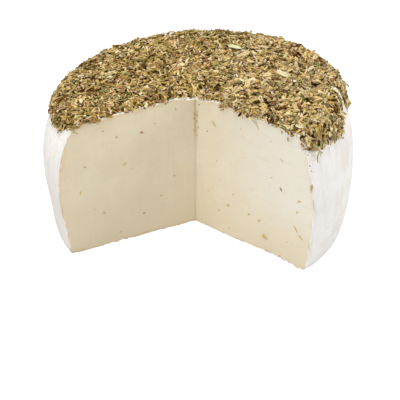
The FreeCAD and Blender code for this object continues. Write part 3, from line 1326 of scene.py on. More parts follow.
@dataclass(frozen=True)
class Strewing:
    """One kind of bit, how it is shaped and how thickly it is strewn."""

    name: str
    shape: Shape
    finish: HerbFinish
    length: float
    width: float
    count: int
    lift: float
    tilt: float
    seed: int
    fade: float = 2.4 * MM
    sparse: float = 0.5
    spill: float = 0.0
    lean: float = 0.0
    lift_spread: float = 1.1 * MM
    variants: int = 12


@dataclass
class HerbBed:
    """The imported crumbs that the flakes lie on: a lumpy skin that sinks into the rind at its hem."""

    form: WheelForm
    hem: Hem
    rows: int = 100
    skirt: float = 18 * MM
    height: float = 0.55 * MM
    sunk: float = 0.5 * MM
    inset: float = 0.3 * MM
    lump: float = 0.3 * MM
    lump_width: float = 2.2 * MM
    swell: float = 0.7 * MM
    swell_width: float = 9 * MM
    clump_width: float = 4.5 * MM
    drift_width: float = 7 * MM
    every: int = 2

    def __post_init__(self) -> None:
        """Lays out the bed's two faces."""
        form = self.form
        lines = []
        for side, top in zip(form.side[::self.every], form.top[::self.every]):
            down = side[::-1]
            kept = down[down[:, 2] > form.high.z - self.skirt]
            lines.append(spaced(np.concatenate((top, kept[1:])), self.rows))
        self.edges = {cut: lines[cut] for cut in Cut}
        grid = np.array(lines)
        half = math.radians(form.cut_angle) / 2
        grid[..., 1] += self.inset / math.sin(half)
        self.grid = grid
        self.normals = grid_normals(grid)
        flat = grid.reshape(-1, 3)
        lumps = self.lump * fractal(flat, self.lump_width, 3, 17.0)
        lumps += self.swell * fractal(flat, self.swell_width, 2, 63.0)
        share = self.hem.cover(flat, 1.2 * MM) * smoothstep(0, 2.2 * MM, form.near_cuts(flat))
        full = share.reshape(grid.shape[:2])
        lift = full * (self.height + lumps.reshape(full.shape)) - (1 - full) * self.sunk
        self.outer = grid + self.normals * lift[..., None]

    def build(self) -> bpy.types.Object:
        """Builds the bed and dresses it.

        Returns:
            The piece.
        """
        under = self.grid - self.normals * self.sunk * 1.5
        patches = [Patch(self.outer), Patch(under)]
        for cut in Cut:
            patches.append(Patch(np.stack((self.outer[cut], under[cut]))))
        patches.append(Patch(np.stack((self.outer[:, -1], under[:, -1]))))
        mesh = join_patches("herb_bed", patches, Mark.COVER)
        return new_piece("herb_bed", mesh, COAT_NODE, [BedFinish().material()])

    def fringe(self, cut: Cut) -> Patch:
        """A ribbon that folds over the top of one cut, where herbs hang over the edge in clumps.

        Args:
            cut: Which cut.

        Returns:
            The ribbon, with the share of herbs at each point.
        """
        edge = self.edges[cut]
        up = self.normals[cut]
        out = np.array(self.form.face_normal(cut))
        along = self.form.from_cut(edge, cut)[0]
        width = self.hem.strip(along, cut)
        hanging = np.maximum(smoothstep(0.3 * MM, -0.5 * MM, width), 0.3)
        hanging = hanging * smoothstep(0.8 * MM, -0.8 * MM, self.hem.depth(edge) - self.hem.reach(edge))
        ring = np.column_stack((along, np.zeros(len(along)), edge[:, 2]))
        clump = smoothstep(-0.25, 0.45, fractal(ring, self.clump_width, 2, 71.0 + cut))
        rows, marks = [], []
        for rise, reach, share in (
                (0.5, -1.5, 0.8), (0.6, -0.5, 1.0), (0.2, 0.1, clump + 0.3), (-0.6, 0.25, 0.9 * clump),
                (-1.4, 0.2, 0.4 * clump ** 2), (-2.6, 0.2, 0.12 * clump ** 4)):
            rows.append(edge + up * rise * MM + out * reach * MM)
            marks.append(hanging * share)
        return Patch(np.array(rows), marks=np.array(marks))

    def carrier(self, kind: Strewing) -> bpy.types.Object:
        """A throwaway sheet for flakes to be strewn on, with their share at each point.

        Args:
            kind: What is strewn on it.

        Returns:
            The sheet.
        """
        flat = self.grid.reshape(-1, 3)
        share = self.hem.cover(flat + np.array((0, 0, kind.spill)), kind.fade, kind.sparse)
        share *= np.clip(1 + 1.15 * fractal(flat, self.drift_width, 2, kind.seed / 10), 0.15, 2.3)
        share *= 1 + kind.lean * smoothstep(-40 * MM, 60 * MM, flat[:, 0]) - 0.5 * kind.lean
        patches = [Patch(self.outer, marks=share.reshape(self.grid.shape[:2]))]
        patches += [self.fringe(cut) for cut in Cut]
        mesh = join_patches("strewing_sheet", patches, Mark.COVER)
        turn_outwards(mesh, Vector((0, 12 * MM, 20 * MM)))
        sheet = bpy.data.objects.new("strewing_sheet", mesh)
        bpy.context.scene.collection.objects.link(sheet)
        return sheet


def turn_outwards(mesh: bpy.types.Mesh, middle: Vector) -> None:
    """Turns the faces of loose sheets away from a point inside them.

    Args:
        mesh: The sheets, changed in place.
        middle: The point.
    """
    build = bmesh.new()
    build.from_mesh(mesh)
    wrong = [face for face in build.faces if face.normal.dot(face.calc_center_median() - middle) < 0]
    bmesh.ops.reverse_faces(build, faces=wrong)
    build.to_mesh(mesh)
    build.free()


def grid_normals(grid: np.ndarray) -> np.ndarray:
    """Outward normals of a grid that runs round the wheel and then from tip to hem.

    Args:
        grid: Points by turn and row.

    Returns:
        Unit normals of the same shape.
    """
    round_it = np.gradient(grid, axis=0)
    along_it = np.gradient(grid, axis=1)
    round_it[:, 0] = round_it[:, 1]
    found = np.cross(along_it, round_it)
    length = np.linalg.norm(found, axis=2, keepdims=True)
    found = found / np.maximum(length, 1e-12)
    return found * np.where(found[:, 5:6, 2:] < 0, -1.0, 1.0)


# ------------------------------------------------------------ flakes of herb


def ring_mesh(name: str, rings: Sequence[Sequence[Vector]], shares: Sequence[float]) -> bpy.types.Mesh:
    """Skins a row of rings into a closed bit with its own map along and around it.

    Args:
        name: The mesh's name.
        rings: Equal rings of points, or a single point at a pointed end.
        shares: How far along each ring is, 0 to 1.

    Returns:
        The mesh.
    """
    mesh = bpy.data.meshes.new(name)
    build = bmesh.new()
    layer = build.loops.layers.uv.new(BIT_MAP)
    made = [[build.verts.new(point) for point in ring] for ring in rings]
    size = max(len(ring) for ring in made)

    def face(corners: Sequence[tuple[bmesh.types.BMVert, float, float]]) -> None:
        """Adds a face whose corners are each a vertex and its place on the map.

        Args:
            corners: The corners, in order.
        """
        new = build.faces.new([corner[0] for corner in corners])
        new.smooth = True
        for loop, corner in zip(new.loops, corners):
            loop[layer].uv = corner[1:]

    for index in range(len(made) - 1):
        here, there = made[index], made[index + 1]
        a, b = shares[index], shares[index + 1]
        for step in range(size):
            after = (step + 1) % size
            v, w = step / size, (step + 1) / size
            if len(here) == 1:
                face(((here[0], a, (v + w) / 2), (there[after], b, w), (there[step], b, v)))
            elif len(there) == 1:
                face(((here[step], a, v), (here[after], a, w), (there[0], b, (v + w) / 2)))
            else:
                face(((here[step], a, v), (here[after], a, w), (there[after], b, w), (there[step], b, v)))
    for ring, share in ((made[0], shares[0]), (made[-1], shares[-1])):
        if len(ring) > 2:
            face([(vert, share, index / size) for index, vert in enumerate(ring)])
    bmesh.ops.recalc_face_normals(build, faces=build.faces)
    build.to_mesh(mesh)
    build.free()
    return mesh


def faceted(mesh: bpy.types.Mesh) -> bpy.types.Mesh:
    """Gives a brittle bit crisp folds and returns it."""
    mesh.polygons.foreach_set("use_smooth", [False] * len(mesh.polygons))
    return mesh


@dataclass
class BitMaker:
    """Makes bits of one mean length and width, whose chances come from one generator."""

    rng: random.Random
    length: float
    width: float

    def make(self, shape: Shape, name: str) -> bpy.types.Mesh:
        """Makes one bit of a shape.

        Args:
            shape: The bit's kind.
            name: The mesh's name.

        Returns:
            The mesh.
        """
        makers = {
            Shape.LEAF: self.leaf,
            Shape.STALK: self.stalk,
            Shape.CRUMB: self.crumb,
            Shape.CHIP: self.chip,
        }
        return makers[shape](name)

    def leaf(self, name: str) -> bpy.types.Mesh:
        """A bit of dried leaf: folded along its rib, curled, twisted and often broken off.

        Args:
            name: The mesh's name.

        Returns:
            The mesh.
        """
        rng = self.rng
        length = self.length * (rng.choice((0.6, 0.75, 0.9, 1.0, 1.15, 1.45)) * rng.uniform(0.9, 1.1))
        half = self.width / 2 * rng.uniform(0.65, 1.35)
        fold = rng.uniform(0.25, 1.0) * rng.choice((-1, 1))
        limp = min(1.0, 1.9 * self.width / length)
        curl = rng.uniform(-0.3, 0.4) * length * limp
        bow = rng.uniform(-0.28, 0.28) * length * limp
        twist = rng.uniform(-1.1, 1.1)
        thick = rng.uniform(0.1, 0.18) * MM
        ends = (rng.random() < 0.15, rng.random() < 0.4)
        shares = [0.0, rng.uniform(0.2, 0.3), rng.uniform(0.45, 0.55), rng.uniform(0.72, 0.82), 1.0]
        spread = [rng.uniform(0.5, 1.0), rng.uniform(0.8, 1.15), 1.0, rng.uniform(0.7, 1.1),
                  rng.uniform(0.4, 0.9)]
        rings = []
        for share, wide in zip(shares, spread):
            centre = Vector(((share - 0.5) * length, bow * 4 * (share - 0.5) ** 2,
                             curl * 4 * (share - 0.5) ** 2 - curl * 0.3))
            if (share == 0.0 and ends[0]) or (share == 1.0 and ends[1]):
                rings.append([centre])
                continue
            turn = Matrix.Rotation(twist * (share - 0.5), 3, "X")
            reach = half * wide
            left = turn @ Vector((rng.uniform(-0.07, 0.07) * length, -reach, fold * reach))
            right = turn @ Vector((rng.uniform(-0.07, 0.07) * length, reach, fold * reach))
            rise = turn @ Vector((0, 0, thick))
            rings.append([centre + left, centre + rise, centre + right, centre - rise])
        return faceted(ring_mesh(name, rings, shares))

    def stalk(self, name: str) -> bpy.types.Mesh:
        """A bit of dry stalk: a bent, tapering stick of five sides.

        Args:
            name: The mesh's name.

        Returns:
            The mesh.
        """
        rng = self.rng
        length = self.length * rng.uniform(0.6, 1.4)
        bend = rng.uniform(-0.12, 0.12) * length
        shares = [0.0, rng.uniform(0.4, 0.6), 1.0]
        rings = []
        for share, wide in zip(shares, (rng.uniform(0.85, 1.1), 1.0, rng.uniform(0.5, 0.9))):
            centre = Vector(((share - 0.5) * length, bend * 4 * (share - 0.5) ** 2, 0))
            ring = []
            for side in range(5):
                turn = 2 * math.pi * side / 5
                reach = self.width / 2 * wide * rng.uniform(0.8, 1.15)
                ring.append(centre + Vector((0, reach * math.cos(turn), reach * math.sin(turn))))
            rings.append(ring)
        return ring_mesh(name, rings, shares)

    def crumb(self, name: str) -> bpy.types.Mesh:
        """A crumb: an uneven double pyramid.

        Args:
            name: The mesh's name.

        Returns:
            The mesh.
        """
        rng = self.rng
        length = self.length * rng.uniform(0.7, 1.3)
        waist = []
        for side in range(4):
            turn = math.pi / 2 * side + rng.uniform(-0.4, 0.4)
            reach = self.width / 2 * rng.uniform(0.6, 1.2)
            waist.append(Vector((
                rng.uniform(-0.1, 0.1) * length, reach * math.cos(turn), reach * 0.7 * math.sin(turn))))
        return ring_mesh(name, [[Vector((-length / 2, 0, 0))], waist, [Vector((length / 2, 0, 0))]],
                         [0.0, 0.5, 1.0])

    def chip(self, name: str) -> bpy.types.Mesh:
        """A torn chip of leaf: a flat, wavy disc of nine uneven corners.

        Args:
            name: The mesh's name.

        Returns:
            The mesh.
        """
        rng = self.rng
        length = self.length * rng.uniform(0.7, 1.35)
        width = self.width * rng.uniform(0.75, 1.25)
        wave = rng.uniform(0.02, 0.12) * width
        rim = []
        for corner in range(9):
            turn = 2 * math.pi * (corner + rng.uniform(-0.3, 0.3)) / 9
            reach = rng.uniform(0.7, 1.1) / 2
            rim.append(Vector((length * reach * math.cos(turn), width * reach * math.sin(turn),
                               wave * math.sin(2 * turn + corner % 2))))
        thick = 0.08 * width
        rings = [[Vector((0, 0, thick))], rim, [Vector((0, 0, -thick))]]
        return faceted(ring_mesh(name, rings, [0.0, 0.5, 1.0]))


class StrewTree(Graph):
    """Geometry Nodes that strew bits over a sheet, each with a tone and a map cell of its own."""

    SIZES = {
        "Density": "NodeSocketFloat",
        "Lift": "NodeSocketFloat",
        "Lift Spread": "NodeSocketFloat",
        "Tilt": "NodeSocketFloat",
        "Smallest": "NodeSocketFloat",
        "Largest": "NodeSocketFloat",
        "Cells Across": "NodeSocketFloat",
        "Seed": "NodeSocketInt",
        "Variants": "NodeSocketInt",
        "Bits": "NodeSocketCollection",
        "Material": "NodeSocketMaterial",
    }

    def __init__(self) -> None:
        """Builds the tree."""
        super().__init__(bpy.data.node_groups.new("strew_bits", "GeometryNodeTree"))
        interface = self.tree.interface
        interface.new_socket("Sheet", in_out="INPUT", socket_type="NodeSocketGeometry")
        for name, kind in self.SIZES.items():
            interface.new_socket(name, in_out="INPUT", socket_type=kind)
        interface.new_socket("Bits Out", in_out="OUTPUT", socket_type="NodeSocketGeometry")
        self.given = self.node("NodeGroupInput").outputs
        placed = self.placed()
        instances = self.instanced(placed)
        realized = self.node("GeometryNodeRealizeInstances")
        self.feed(realized, Geometry=instances)
        mapped = self.mapped(realized.outputs["Geometry"])
        dressed = self.node("GeometryNodeSetMaterial")
        self.feed(dressed, Geometry=mapped, Material=self.given["Material"])
        end = self.node("NodeGroupOutput")
        self.tree.links.new(dressed.outputs["Geometry"], end.inputs["Bits Out"])

    def chance(self, low: object, high: object, salt: int, kind: str = "FLOAT") -> bpy.types.NodeSocket:
        """A random number for each bit.

        Args:
            low: Lowest value or socket.
            high: Highest value or socket.
            salt: Sets this draw apart from the others.
            kind: FLOAT, INT or FLOAT_VECTOR.

        Returns:
            The number.
        """
        made = self.node("FunctionNodeRandomValue", data_type=kind)
        self.feed(made, Min=low, Max=high, Seed=self.maths("ADD", self.given["Seed"], salt))
        return find_socket(made.outputs, "Value")

    def stored(self, name: str, kind: str = "FLOAT") -> bpy.types.NodeSocket:
        """A named value of the geometry.

        Args:
            name: The value's name.
            kind: Its data type.

        Returns:
            The value.
        """
        made = self.node("GeometryNodeInputNamedAttribute", data_type=kind)
        self.feed(made, Name=name)
        return find_socket(made.outputs, "Attribute")

    def placed(self) -> tuple[bpy.types.NodeSocket, bpy.types.NodeSocket]:
        """Strews the points over the sheet and lifts them off it.

        Returns:
            The points and the turn that lays a bit flat at each.
        """
        share = self.stored(Mark.COVER.value)
        spots = self.node("GeometryNodeDistributePointsOnFaces", distribute_method="RANDOM")
        self.feed(spots, Mesh=self.given["Sheet"], Seed=self.given["Seed"],
                  Density=self.maths("MULTIPLY", share, self.given["Density"]))
        loose = self.chance(0.0, 1.0, 11)
        spread = self.maths("MULTIPLY", loose, self.given["Lift Spread"])
        raised = self.maths("ADD", self.given["Lift"], spread)
        away = self.vector_maths("MULTIPLY", spots.outputs["Normal"], raised)
        moved = self.node("GeometryNodeSetPosition")
        self.feed(moved, Geometry=spots.outputs["Points"], Offset=away)
        buried = self.maths("SUBTRACT", 1.0, loose)
        points = self.kept(moved.outputs["Geometry"], Mark.BURIED.value, "FLOAT", buried, "POINT")
        return points, spots.outputs["Rotation"]

    def instanced(self, placed: tuple[bpy.types.NodeSocket, bpy.types.NodeSocket]) -> bpy.types.NodeSocket:
        """Puts a random bit at each point, tipped and turned, and gives it a tone.

        Args:
            placed: The points and their flat turn.

        Returns:
            The instances.
        """
        points, flat = placed
        tilt = self.given["Tilt"]
        back = self.maths("MULTIPLY", tilt, -1.0)
        tipped = self.joined(self.chance(back, tilt, 23), self.chance(back, tilt, 37))
        spun = self.joined(0.0, 0.0, self.chance(0.0, 2 * math.pi, 41))
        rotation = flat
        for angles in (spun, tipped):
            euler = self.feed(self.node("FunctionNodeEulerToRotation"), Euler=angles)
            turned = self.node("FunctionNodeRotateRotation", rotation_space="LOCAL")
            self.put(turned.inputs[0], rotation)
            self.put(turned.inputs[1], euler.outputs["Rotation"])
            rotation = turned.outputs["Rotation"]
        bits = self.node("GeometryNodeCollectionInfo")
        self.feed(bits, Collection=self.given["Bits"], Separate_Children=True, Reset_Children=True)
        last = self.maths("SUBTRACT", self.given["Variants"], 1)
        thick = self.maths("MINIMUM", self.stored(Mark.COVER.value), 1.0)
        full = self.maths("ADD", self.maths("MULTIPLY", thick, 0.5), 0.5)
        size = self.chance(self.given["Smallest"], self.given["Largest"], 67)
        instances = self.node("GeometryNodeInstanceOnPoints")
        self.feed(instances, Points=points, Instance=bits.outputs["Instances"], Pick_Instance=True,
                  Instance_Index=self.chance(0, last, 53, "INT"), Rotation=rotation,
                  Scale=self.maths("MULTIPLY", size, full))
        toned = self.kept(instances.outputs["Instances"], Mark.TONE.value, "FLOAT",
                          self.chance(0.0, 1.0, 79))
        return self.kept(toned, Mark.FLAKE.value, "INT", self.node("GeometryNodeInputIndex").outputs[0])

    def kept(self, geometry: bpy.types.NodeSocket, name: str, kind: str,
             value: bpy.types.NodeSocket, domain: str = "INSTANCE") -> bpy.types.NodeSocket:
        """Stores a value on the geometry under a name.

        Args:
            geometry: What carries it.
            name: The attribute's name.
            kind: Its data type.
            value: The value.
            domain: Where it is stored.

        Returns:
            The geometry.
        """
        made = self.node("GeometryNodeStoreNamedAttribute", data_type=kind, domain=domain)
        self.feed(made, Geometry=geometry, Name=name, Value=value)
        return made.outputs["Geometry"]

    def mapped(self, geometry: bpy.types.NodeSocket) -> bpy.types.NodeSocket:
        """Gives each bit its own cell of a second map, so that bits never share a spot of it.

        Args:
            geometry: The realized bits.

        Returns:
            The geometry with the map.
        """
        number = self.stored(Mark.FLAKE.value, "INT")
        across = self.given["Cells Across"]
        column = self.maths("MODULO", number, across)
        row = self.maths("FLOOR", self.maths("DIVIDE", number, across))
        inner = 1 - 2 * CELL_MARGIN
        own = self.vector_maths("MULTIPLY_ADD", self.stored(BIT_MAP, "FLOAT_VECTOR"), (inner, inner, 0.0),
                                (CELL_MARGIN, CELL_MARGIN, 0.0))
        summed = self.vector_maths("ADD", own, self.joined(column, row))
        shrunk = self.vector_maths("MULTIPLY", summed, self.maths("DIVIDE", 1.0, across))
        return self.kept(geometry, CELL_MAP, "FLOAT2", shrunk, "CORNER")


@dataclass
class HerbCoat:
    """The loose herbs on the bed, one piece for each kind."""

    bed: HerbBed
    strewings: Sequence[Strewing]
    area: float = 0.0125
    smallest: float = 0.75
    largest: float = 1.25

    def build(self) -> list[bpy.types.Object]:
        """Strews every kind.

        Returns:
            The pieces.
        """
        tree = StrewTree()
        return [self.strew(tree, kind) for kind in self.strewings]

    def strew(self, tree: StrewTree, kind: Strewing) -> bpy.types.Object:
        """Strews one kind of bit and makes it a plain mesh.

        Args:
            tree: The strewing nodes.
            kind: What is strewn.

        Returns:
            The piece.
        """
        bits = bpy.data.collections.new(kind.name + "_bits")
        bpy.context.scene.collection.children.link(bits)
        maker = BitMaker(random.Random(kind.seed), kind.length, kind.width)
        for index in range(kind.variants):
            mesh = maker.make(kind.shape, f"{kind.name}_bit{index}")
            bits.objects.link(bpy.data.objects.new(mesh.name, mesh))
        material = kind.finish.material()
        sheet = self.bed.carrier(kind)
        modifier = sheet.modifiers.new("strew", "NODES")
        modifier.node_group = tree.tree
        values = {
            "Density": kind.count / self.area,
            "Lift": kind.lift,
            "Lift Spread": kind.lift_spread,
            "Tilt": kind.tilt,
            "Smallest": self.smallest,
            "Largest": self.largest,
            "Cells Across": float(math.ceil(math.sqrt(kind.count * 1.3))),
            "Seed": kind.seed,
            "Variants": kind.variants,
            "Bits": bits,
            "Material": material,
        }
        for item in tree.tree.interface.items_tree:
            if item.name in values:
                modifier[item.identifier] = values[item.name]
        depsgraph = bpy.context.evaluated_depsgraph_get()
        mesh = bpy.data.meshes.new_from_object(sheet.evaluated_get(depsgraph))
        mesh.name = kind.name
        sheet.modifiers.clear()
        for item in list(bits.objects):
            bpy.data.objects.remove(item)
        bpy.data.collections.remove(bits)
        bpy.data.objects.remove(sheet)
        return new_piece(kind.name, mesh, COAT_NODE)


STRAW = HerbFinish("straw_leaf", (
    srgb(159, 122, 52), srgb(202, 170, 97), srgb(220, 191, 126), srgb(232, 215, 164), srgb(208, 170, 92)))
OLIVE = HerbFinish("olive_leaf", (
    srgb(70, 47, 5), srgb(140, 110, 40), srgb(180, 152, 74), srgb(155, 129, 47), srgb(206, 181, 110)))
GREEN = HerbFinish("green_leaf", (
    srgb(57, 62, 7), srgb(98, 110, 34), srgb(149, 153, 81), srgb(85, 99, 23), srgb(172, 170, 106)))
BROWN = HerbFinish("brown_leaf", (
    srgb(59, 32, 5), srgb(144, 97, 47), srgb(193, 148, 97), srgb(110, 65, 34), srgb(212, 172, 126)))
PALE = HerbFinish("pale_bit", (
    srgb(219, 193, 157), srgb(229, 211, 175), srgb(206, 172, 140), srgb(233, 223, 196), srgb(217, 187, 155)))
STICK = HerbFinish("straw_stalk", (
    srgb(195, 161, 85), srgb(221, 193, 122), srgb(178, 140, 68), srgb(231, 211, 153), srgb(174, 146, 68)))
BOLD = HerbFinish("bold_leaf", (
    srgb(66, 37, 5), srgb(227, 200, 139), srgb(104, 75, 23), srgb(239, 228, 191), srgb(200, 165, 94)))


def herb_kinds() -> list[Strewing]:
    """The kinds of herb bit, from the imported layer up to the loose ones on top.

    Returns:
        The strewings.
    """
    leaf, stalk, crumb, chip = Shape.LEAF, Shape.STALK, Shape.CRUMB, Shape.CHIP
    return [
        Strewing("herb_olive_leaf", leaf, OLIVE, 2.9 * MM, 1.15 * MM, 1650, -0.1 * MM, 0.4, 101, lean=-0.3),
        Strewing("herb_straw_leaf", leaf, STRAW, 3.4 * MM, 0.95 * MM, 3200, 0.05 * MM, 0.42, 202, lean=0.35),
        Strewing("herb_brown_leaf", leaf, BROWN, 2.7 * MM, 1.1 * MM, 1400, -0.05 * MM, 0.42, 303, lean=-0.2),
        Strewing("herb_green_leaf", leaf, GREEN, 2.6 * MM, 1.15 * MM, 520, 0.1 * MM, 0.42, 414),
        Strewing("herb_bold_leaf", leaf, BOLD, 3.9 * MM, 1.7 * MM, 520, 0.55 * MM, 0.55, 929, lean=1.5),
        Strewing("herb_pale_bit", chip, PALE, 2.3 * MM, 1.4 * MM, 600, 0.1 * MM, 0.5, 505, lean=0.6),
        Strewing("herb_fringe_bit", leaf, PALE, 1.8 * MM, 0.6 * MM, 1100, 0.3 * MM, 0.5, 1010,
                 fade=5 * MM, sparse=0.9, spill=1.2 * MM, lean=0.5),
        Strewing("herb_chip", chip, OLIVE, 2.4 * MM, 1.6 * MM, 800, 0.0 * MM, 0.5, 818),
        Strewing("herb_stalk", stalk, STICK, 4.0 * MM, 0.5 * MM, 800, 0.3 * MM, 0.2, 606),
        Strewing("herb_crumb", crumb, STRAW, 1.3 * MM, 0.85 * MM, 2400, 0.1 * MM, 0.6, 707,
                 fade=4 * MM, sparse=0.9, spill=0.8 * MM, lean=0.4),
    ]


# ------------------------------------------------------------ single bits


@dataclass(frozen=True)
class Bit:
    """One bit with its own place: where, which way up, which way it points, size and tone."""

    middle: Vector
    up: Vector
    towards: Vector
    length: float
    width: float
    tone: float
    shape: Shape = Shape.LEAF


def join_bits(name: str, bits: Sequence[Bit], seed: int) -> bpy.types.Mesh:
    """Makes one mesh of single bits, each with its tone and its own cell of the second map.

    Args:
        name: The mesh's name.
        bits: The bits.
        seed: Where their shapes' chances come from.

    Returns:
        The mesh.
    """
    maker = BitMaker(random.Random(seed), 1.0 * MM, 1.0 * MM)
    across = math.ceil(math.sqrt(len(bits)))
    inner = 1 - 2 * CELL_MARGIN
    places, faces, smooth, tones, own, cells = [], [], [], [], [], []
    for number, bit in enumerate(bits):
        made = maker.make(bit.shape, "bit")
        length = max(vert.co.x for vert in made.vertices) - min(vert.co.x for vert in made.vertices)
        width = max(abs(vert.co.y) for vert in made.vertices) * 2
        up = bit.up.normalized()
        ahead = (bit.towards - up * bit.towards.dot(up)).normalized()
        turn = Matrix((ahead, up.cross(ahead), up)).transposed()
        scale = Vector((bit.length / length, bit.width / width, bit.width / width))
        first = len(places)
        for vert in made.vertices:
            places.append(bit.middle + turn @ (vert.co * scale))
            tones.append(bit.tone)
        for face in made.polygons:
            faces.append([first + index for index in face.vertices])
            smooth.append(face.use_smooth)
            for loop in face.loop_indices:
                u, v = made.uv_layers[BIT_MAP].data[loop].uv
                own.extend((u, v))
                cells.append((number % across + CELL_MARGIN + inner * u) / across)
                cells.append((number // across + CELL_MARGIN + inner * v) / across)
        bpy.data.meshes.remove(made)
    mesh = bpy.data.meshes.new(name)
    mesh.from_pydata(places, [], faces)
    mesh.uv_layers.new(name=BIT_MAP).data.foreach_set("uv", own)
    mesh.uv_layers.new(name=CELL_MAP).data.foreach_set("uv", cells)
    mesh.attributes.new(Mark.TONE.value, "FLOAT", "POINT").data.foreach_set("value", tones)
    mesh.polygons.foreach_set("use_smooth", smooth)
    return mesh


@dataclass(frozen=True)
class Fleck:
    """One bit that shows in a cut face, in millimetres out from the tip and up from the base."""

    along: float
    height: float
    length: float
    width: float
    turn: float
    tone: float


def sloping(level: Vector, slope: float) -> Vector:
    """A level direction, tipped up by an angle in degrees."""
    angle = math.radians(slope)
    return level * math.cos(angle) + Vector((0, 0, math.sin(angle)))


@dataclass
class PasteFlecks:
    """Herb bits caught in the paste, or stuck to the cut faces.

    Each row of the tables is one fleck: its along, height, length, width, turn and tone.
    """

    form: WheelForm
    body: bpy.types.Object
    longer: float = 1.25
    wider: float = 1.6
    right: tuple[tuple[float, ...], ...] = (
        (11, 57, 3.6, 1.1, -50, 0.3), (7, 51.5, 0.9, 0.7, 20, 0.7), (13, 38, 0.8, 0.5, 0, 0.5),
        (50.5, 53, 2.6, 0.6, -40, 0.1), (15.5, 29, 0.9, 0.5, 30, 0.1), (45, 42, 1.2, 0.5, 10, 0.1),
        (50.5, 38, 1.9, 0.9, -60, 0.9), (23, 24, 0.9, 0.7, 0, 0.6), (20, 17, 1.9, 1.2, 10, 0.4),
        (61, 36, 2.2, 0.8, 15, 0.25), (14.5, 12, 0.9, 0.6, 0, 0.6), (32.5, 17.5, 1.7, 1.0, 20, 0.4),
        (38.5, 16.5, 1.6, 1.0, 30, 0.35), (60, 30, 1.6, 0.7, 40, 0.15), (42, 9.5, 3.4, 2.0, -25, 0.35),
        (21, 5, 1.0, 0.6, 0, 0.5), (59.5, 20.5, 4.0, 0.8, -55, 0.3), (62.5, 17.5, 3.6, 0.9, -35, 0.2),
        (51, 2.4, 1.3, 0.9, 10, 0.65), (67.3, 45.5, 4.2, 1.2, 85, 0.55), (50, 67, 1.3, 0.8, 70, 0.8),
        (53.5, 64.8, 1.8, 0.9, 80, 0.9), (36.2, 65, 4.4, 0.6, -62, 0.45), (29, 46, 0.8, 0.4, 80, 0.1),
        (34, 31, 0.7, 0.5, 0, 0.15), (55, 12, 1.1, 0.6, -20, 0.2), (8, 20, 0.8, 0.5, 0, 0.15),
        (27, 60, 0.9, 0.5, -20, 0.2), (44, 60, 0.8, 0.5, 0, 0.1), (65.8, 56.3, 0.9, 0.6, 20, 0.75),
        (66.7, 54.0, 0.7, 0.5, 80, 0.75), (64.6, 61.2, 0.8, 0.5, 40, 0.75), (0.8, 59.5, 1.8, 0.8, 84, 0.4),
        (1.0, 57.4, 1.7, 0.9, 95, 0.5), (0.8, 54.6, 2.2, 0.9, 84, 0.45), (1.6, 51.4, 1.4, 0.7, 75, 0.5),
        (0.9, 47.2, 1.6, 0.6, 92, 0.3),
    )
    left: tuple[tuple[float, ...], ...] = (
        (39.5, 56, 1.7, 0.9, 60, 0.5), (27, 55, 2.2, 0.9, 20, 0.9), (46, 60.5, 1.2, 0.8, 0, 0.45),
        (20.5, 58, 1.8, 0.6, 25, 0.1), (10, 63, 1.4, 0.7, 80, 0.3), (0.7, 58.2, 1.8, 0.8, 82, 0.45),
        (0.8, 55.8, 1.6, 0.9, 92, 0.5), (0.7, 49.5, 1.6, 0.7, 86, 0.35), (55.5, 44.5, 1.6, 0.8, 30, 0.4),
        (36, 41, 2.2, 0.9, -30, 0.3), (32.5, 37.5, 1.0, 0.6, 10, 0.15), (11, 28, 1.2, 0.7, 0, 0.6),
        (47, 18, 2.0, 1.0, 40, 0.35), (51.5, 21, 1.1, 0.7, 0, 0.1), (27, 12, 1.7, 0.9, -10, 0.9),
        (58, 31.5, 2.4, 0.7, -60, 0.25), (18, 19, 1.3, 0.8, 20, 0.4), (39, 5, 1.5, 0.9, 0, 0.2),
    )

    def build(self) -> bpy.types.Object:
        """Builds the flecks as one piece.

        Returns:
            The piece.
        """
        mesh = self.body.data
        tree = surface_of(mesh)
        bits = [self.placed(tree, Fleck(*row), Cut.RIGHT) for row in self.right]
        bits += [self.placed(tree, Fleck(*row), Cut.LEFT) for row in self.left]
        mesh = join_bits("paste_flecks", bits, 12)
        return new_piece("paste_flecks", mesh, CHEESE_NODE, [FleckFinish().material()])

    def placed(self, tree: BVHTree, fleck: Fleck, cut: Cut) -> Bit:
        """Lays a fleck on a cut face.

        Args:
            tree: The cheese's surface.
            fleck: The fleck.
            cut: Which cut.

        Returns:
            The bit.
        """
        up = self.form.face_normal(cut)
        place = self.form.on_cut(cut, fleck.along, fleck.height)
        found = tree.ray_cast(place + up * 4 * MM, -up, 8 * MM)[0]
        middle = (found or place) + up * 0.05 * fleck.width * MM
        towards = sloping(heading(self.form.bearings[cut]), fleck.turn)
        size = (self.longer * fleck.length * MM, self.wider * fleck.width * MM)
        return Bit(middle, up, towards, *size, fleck.tone, Shape.CHIP)


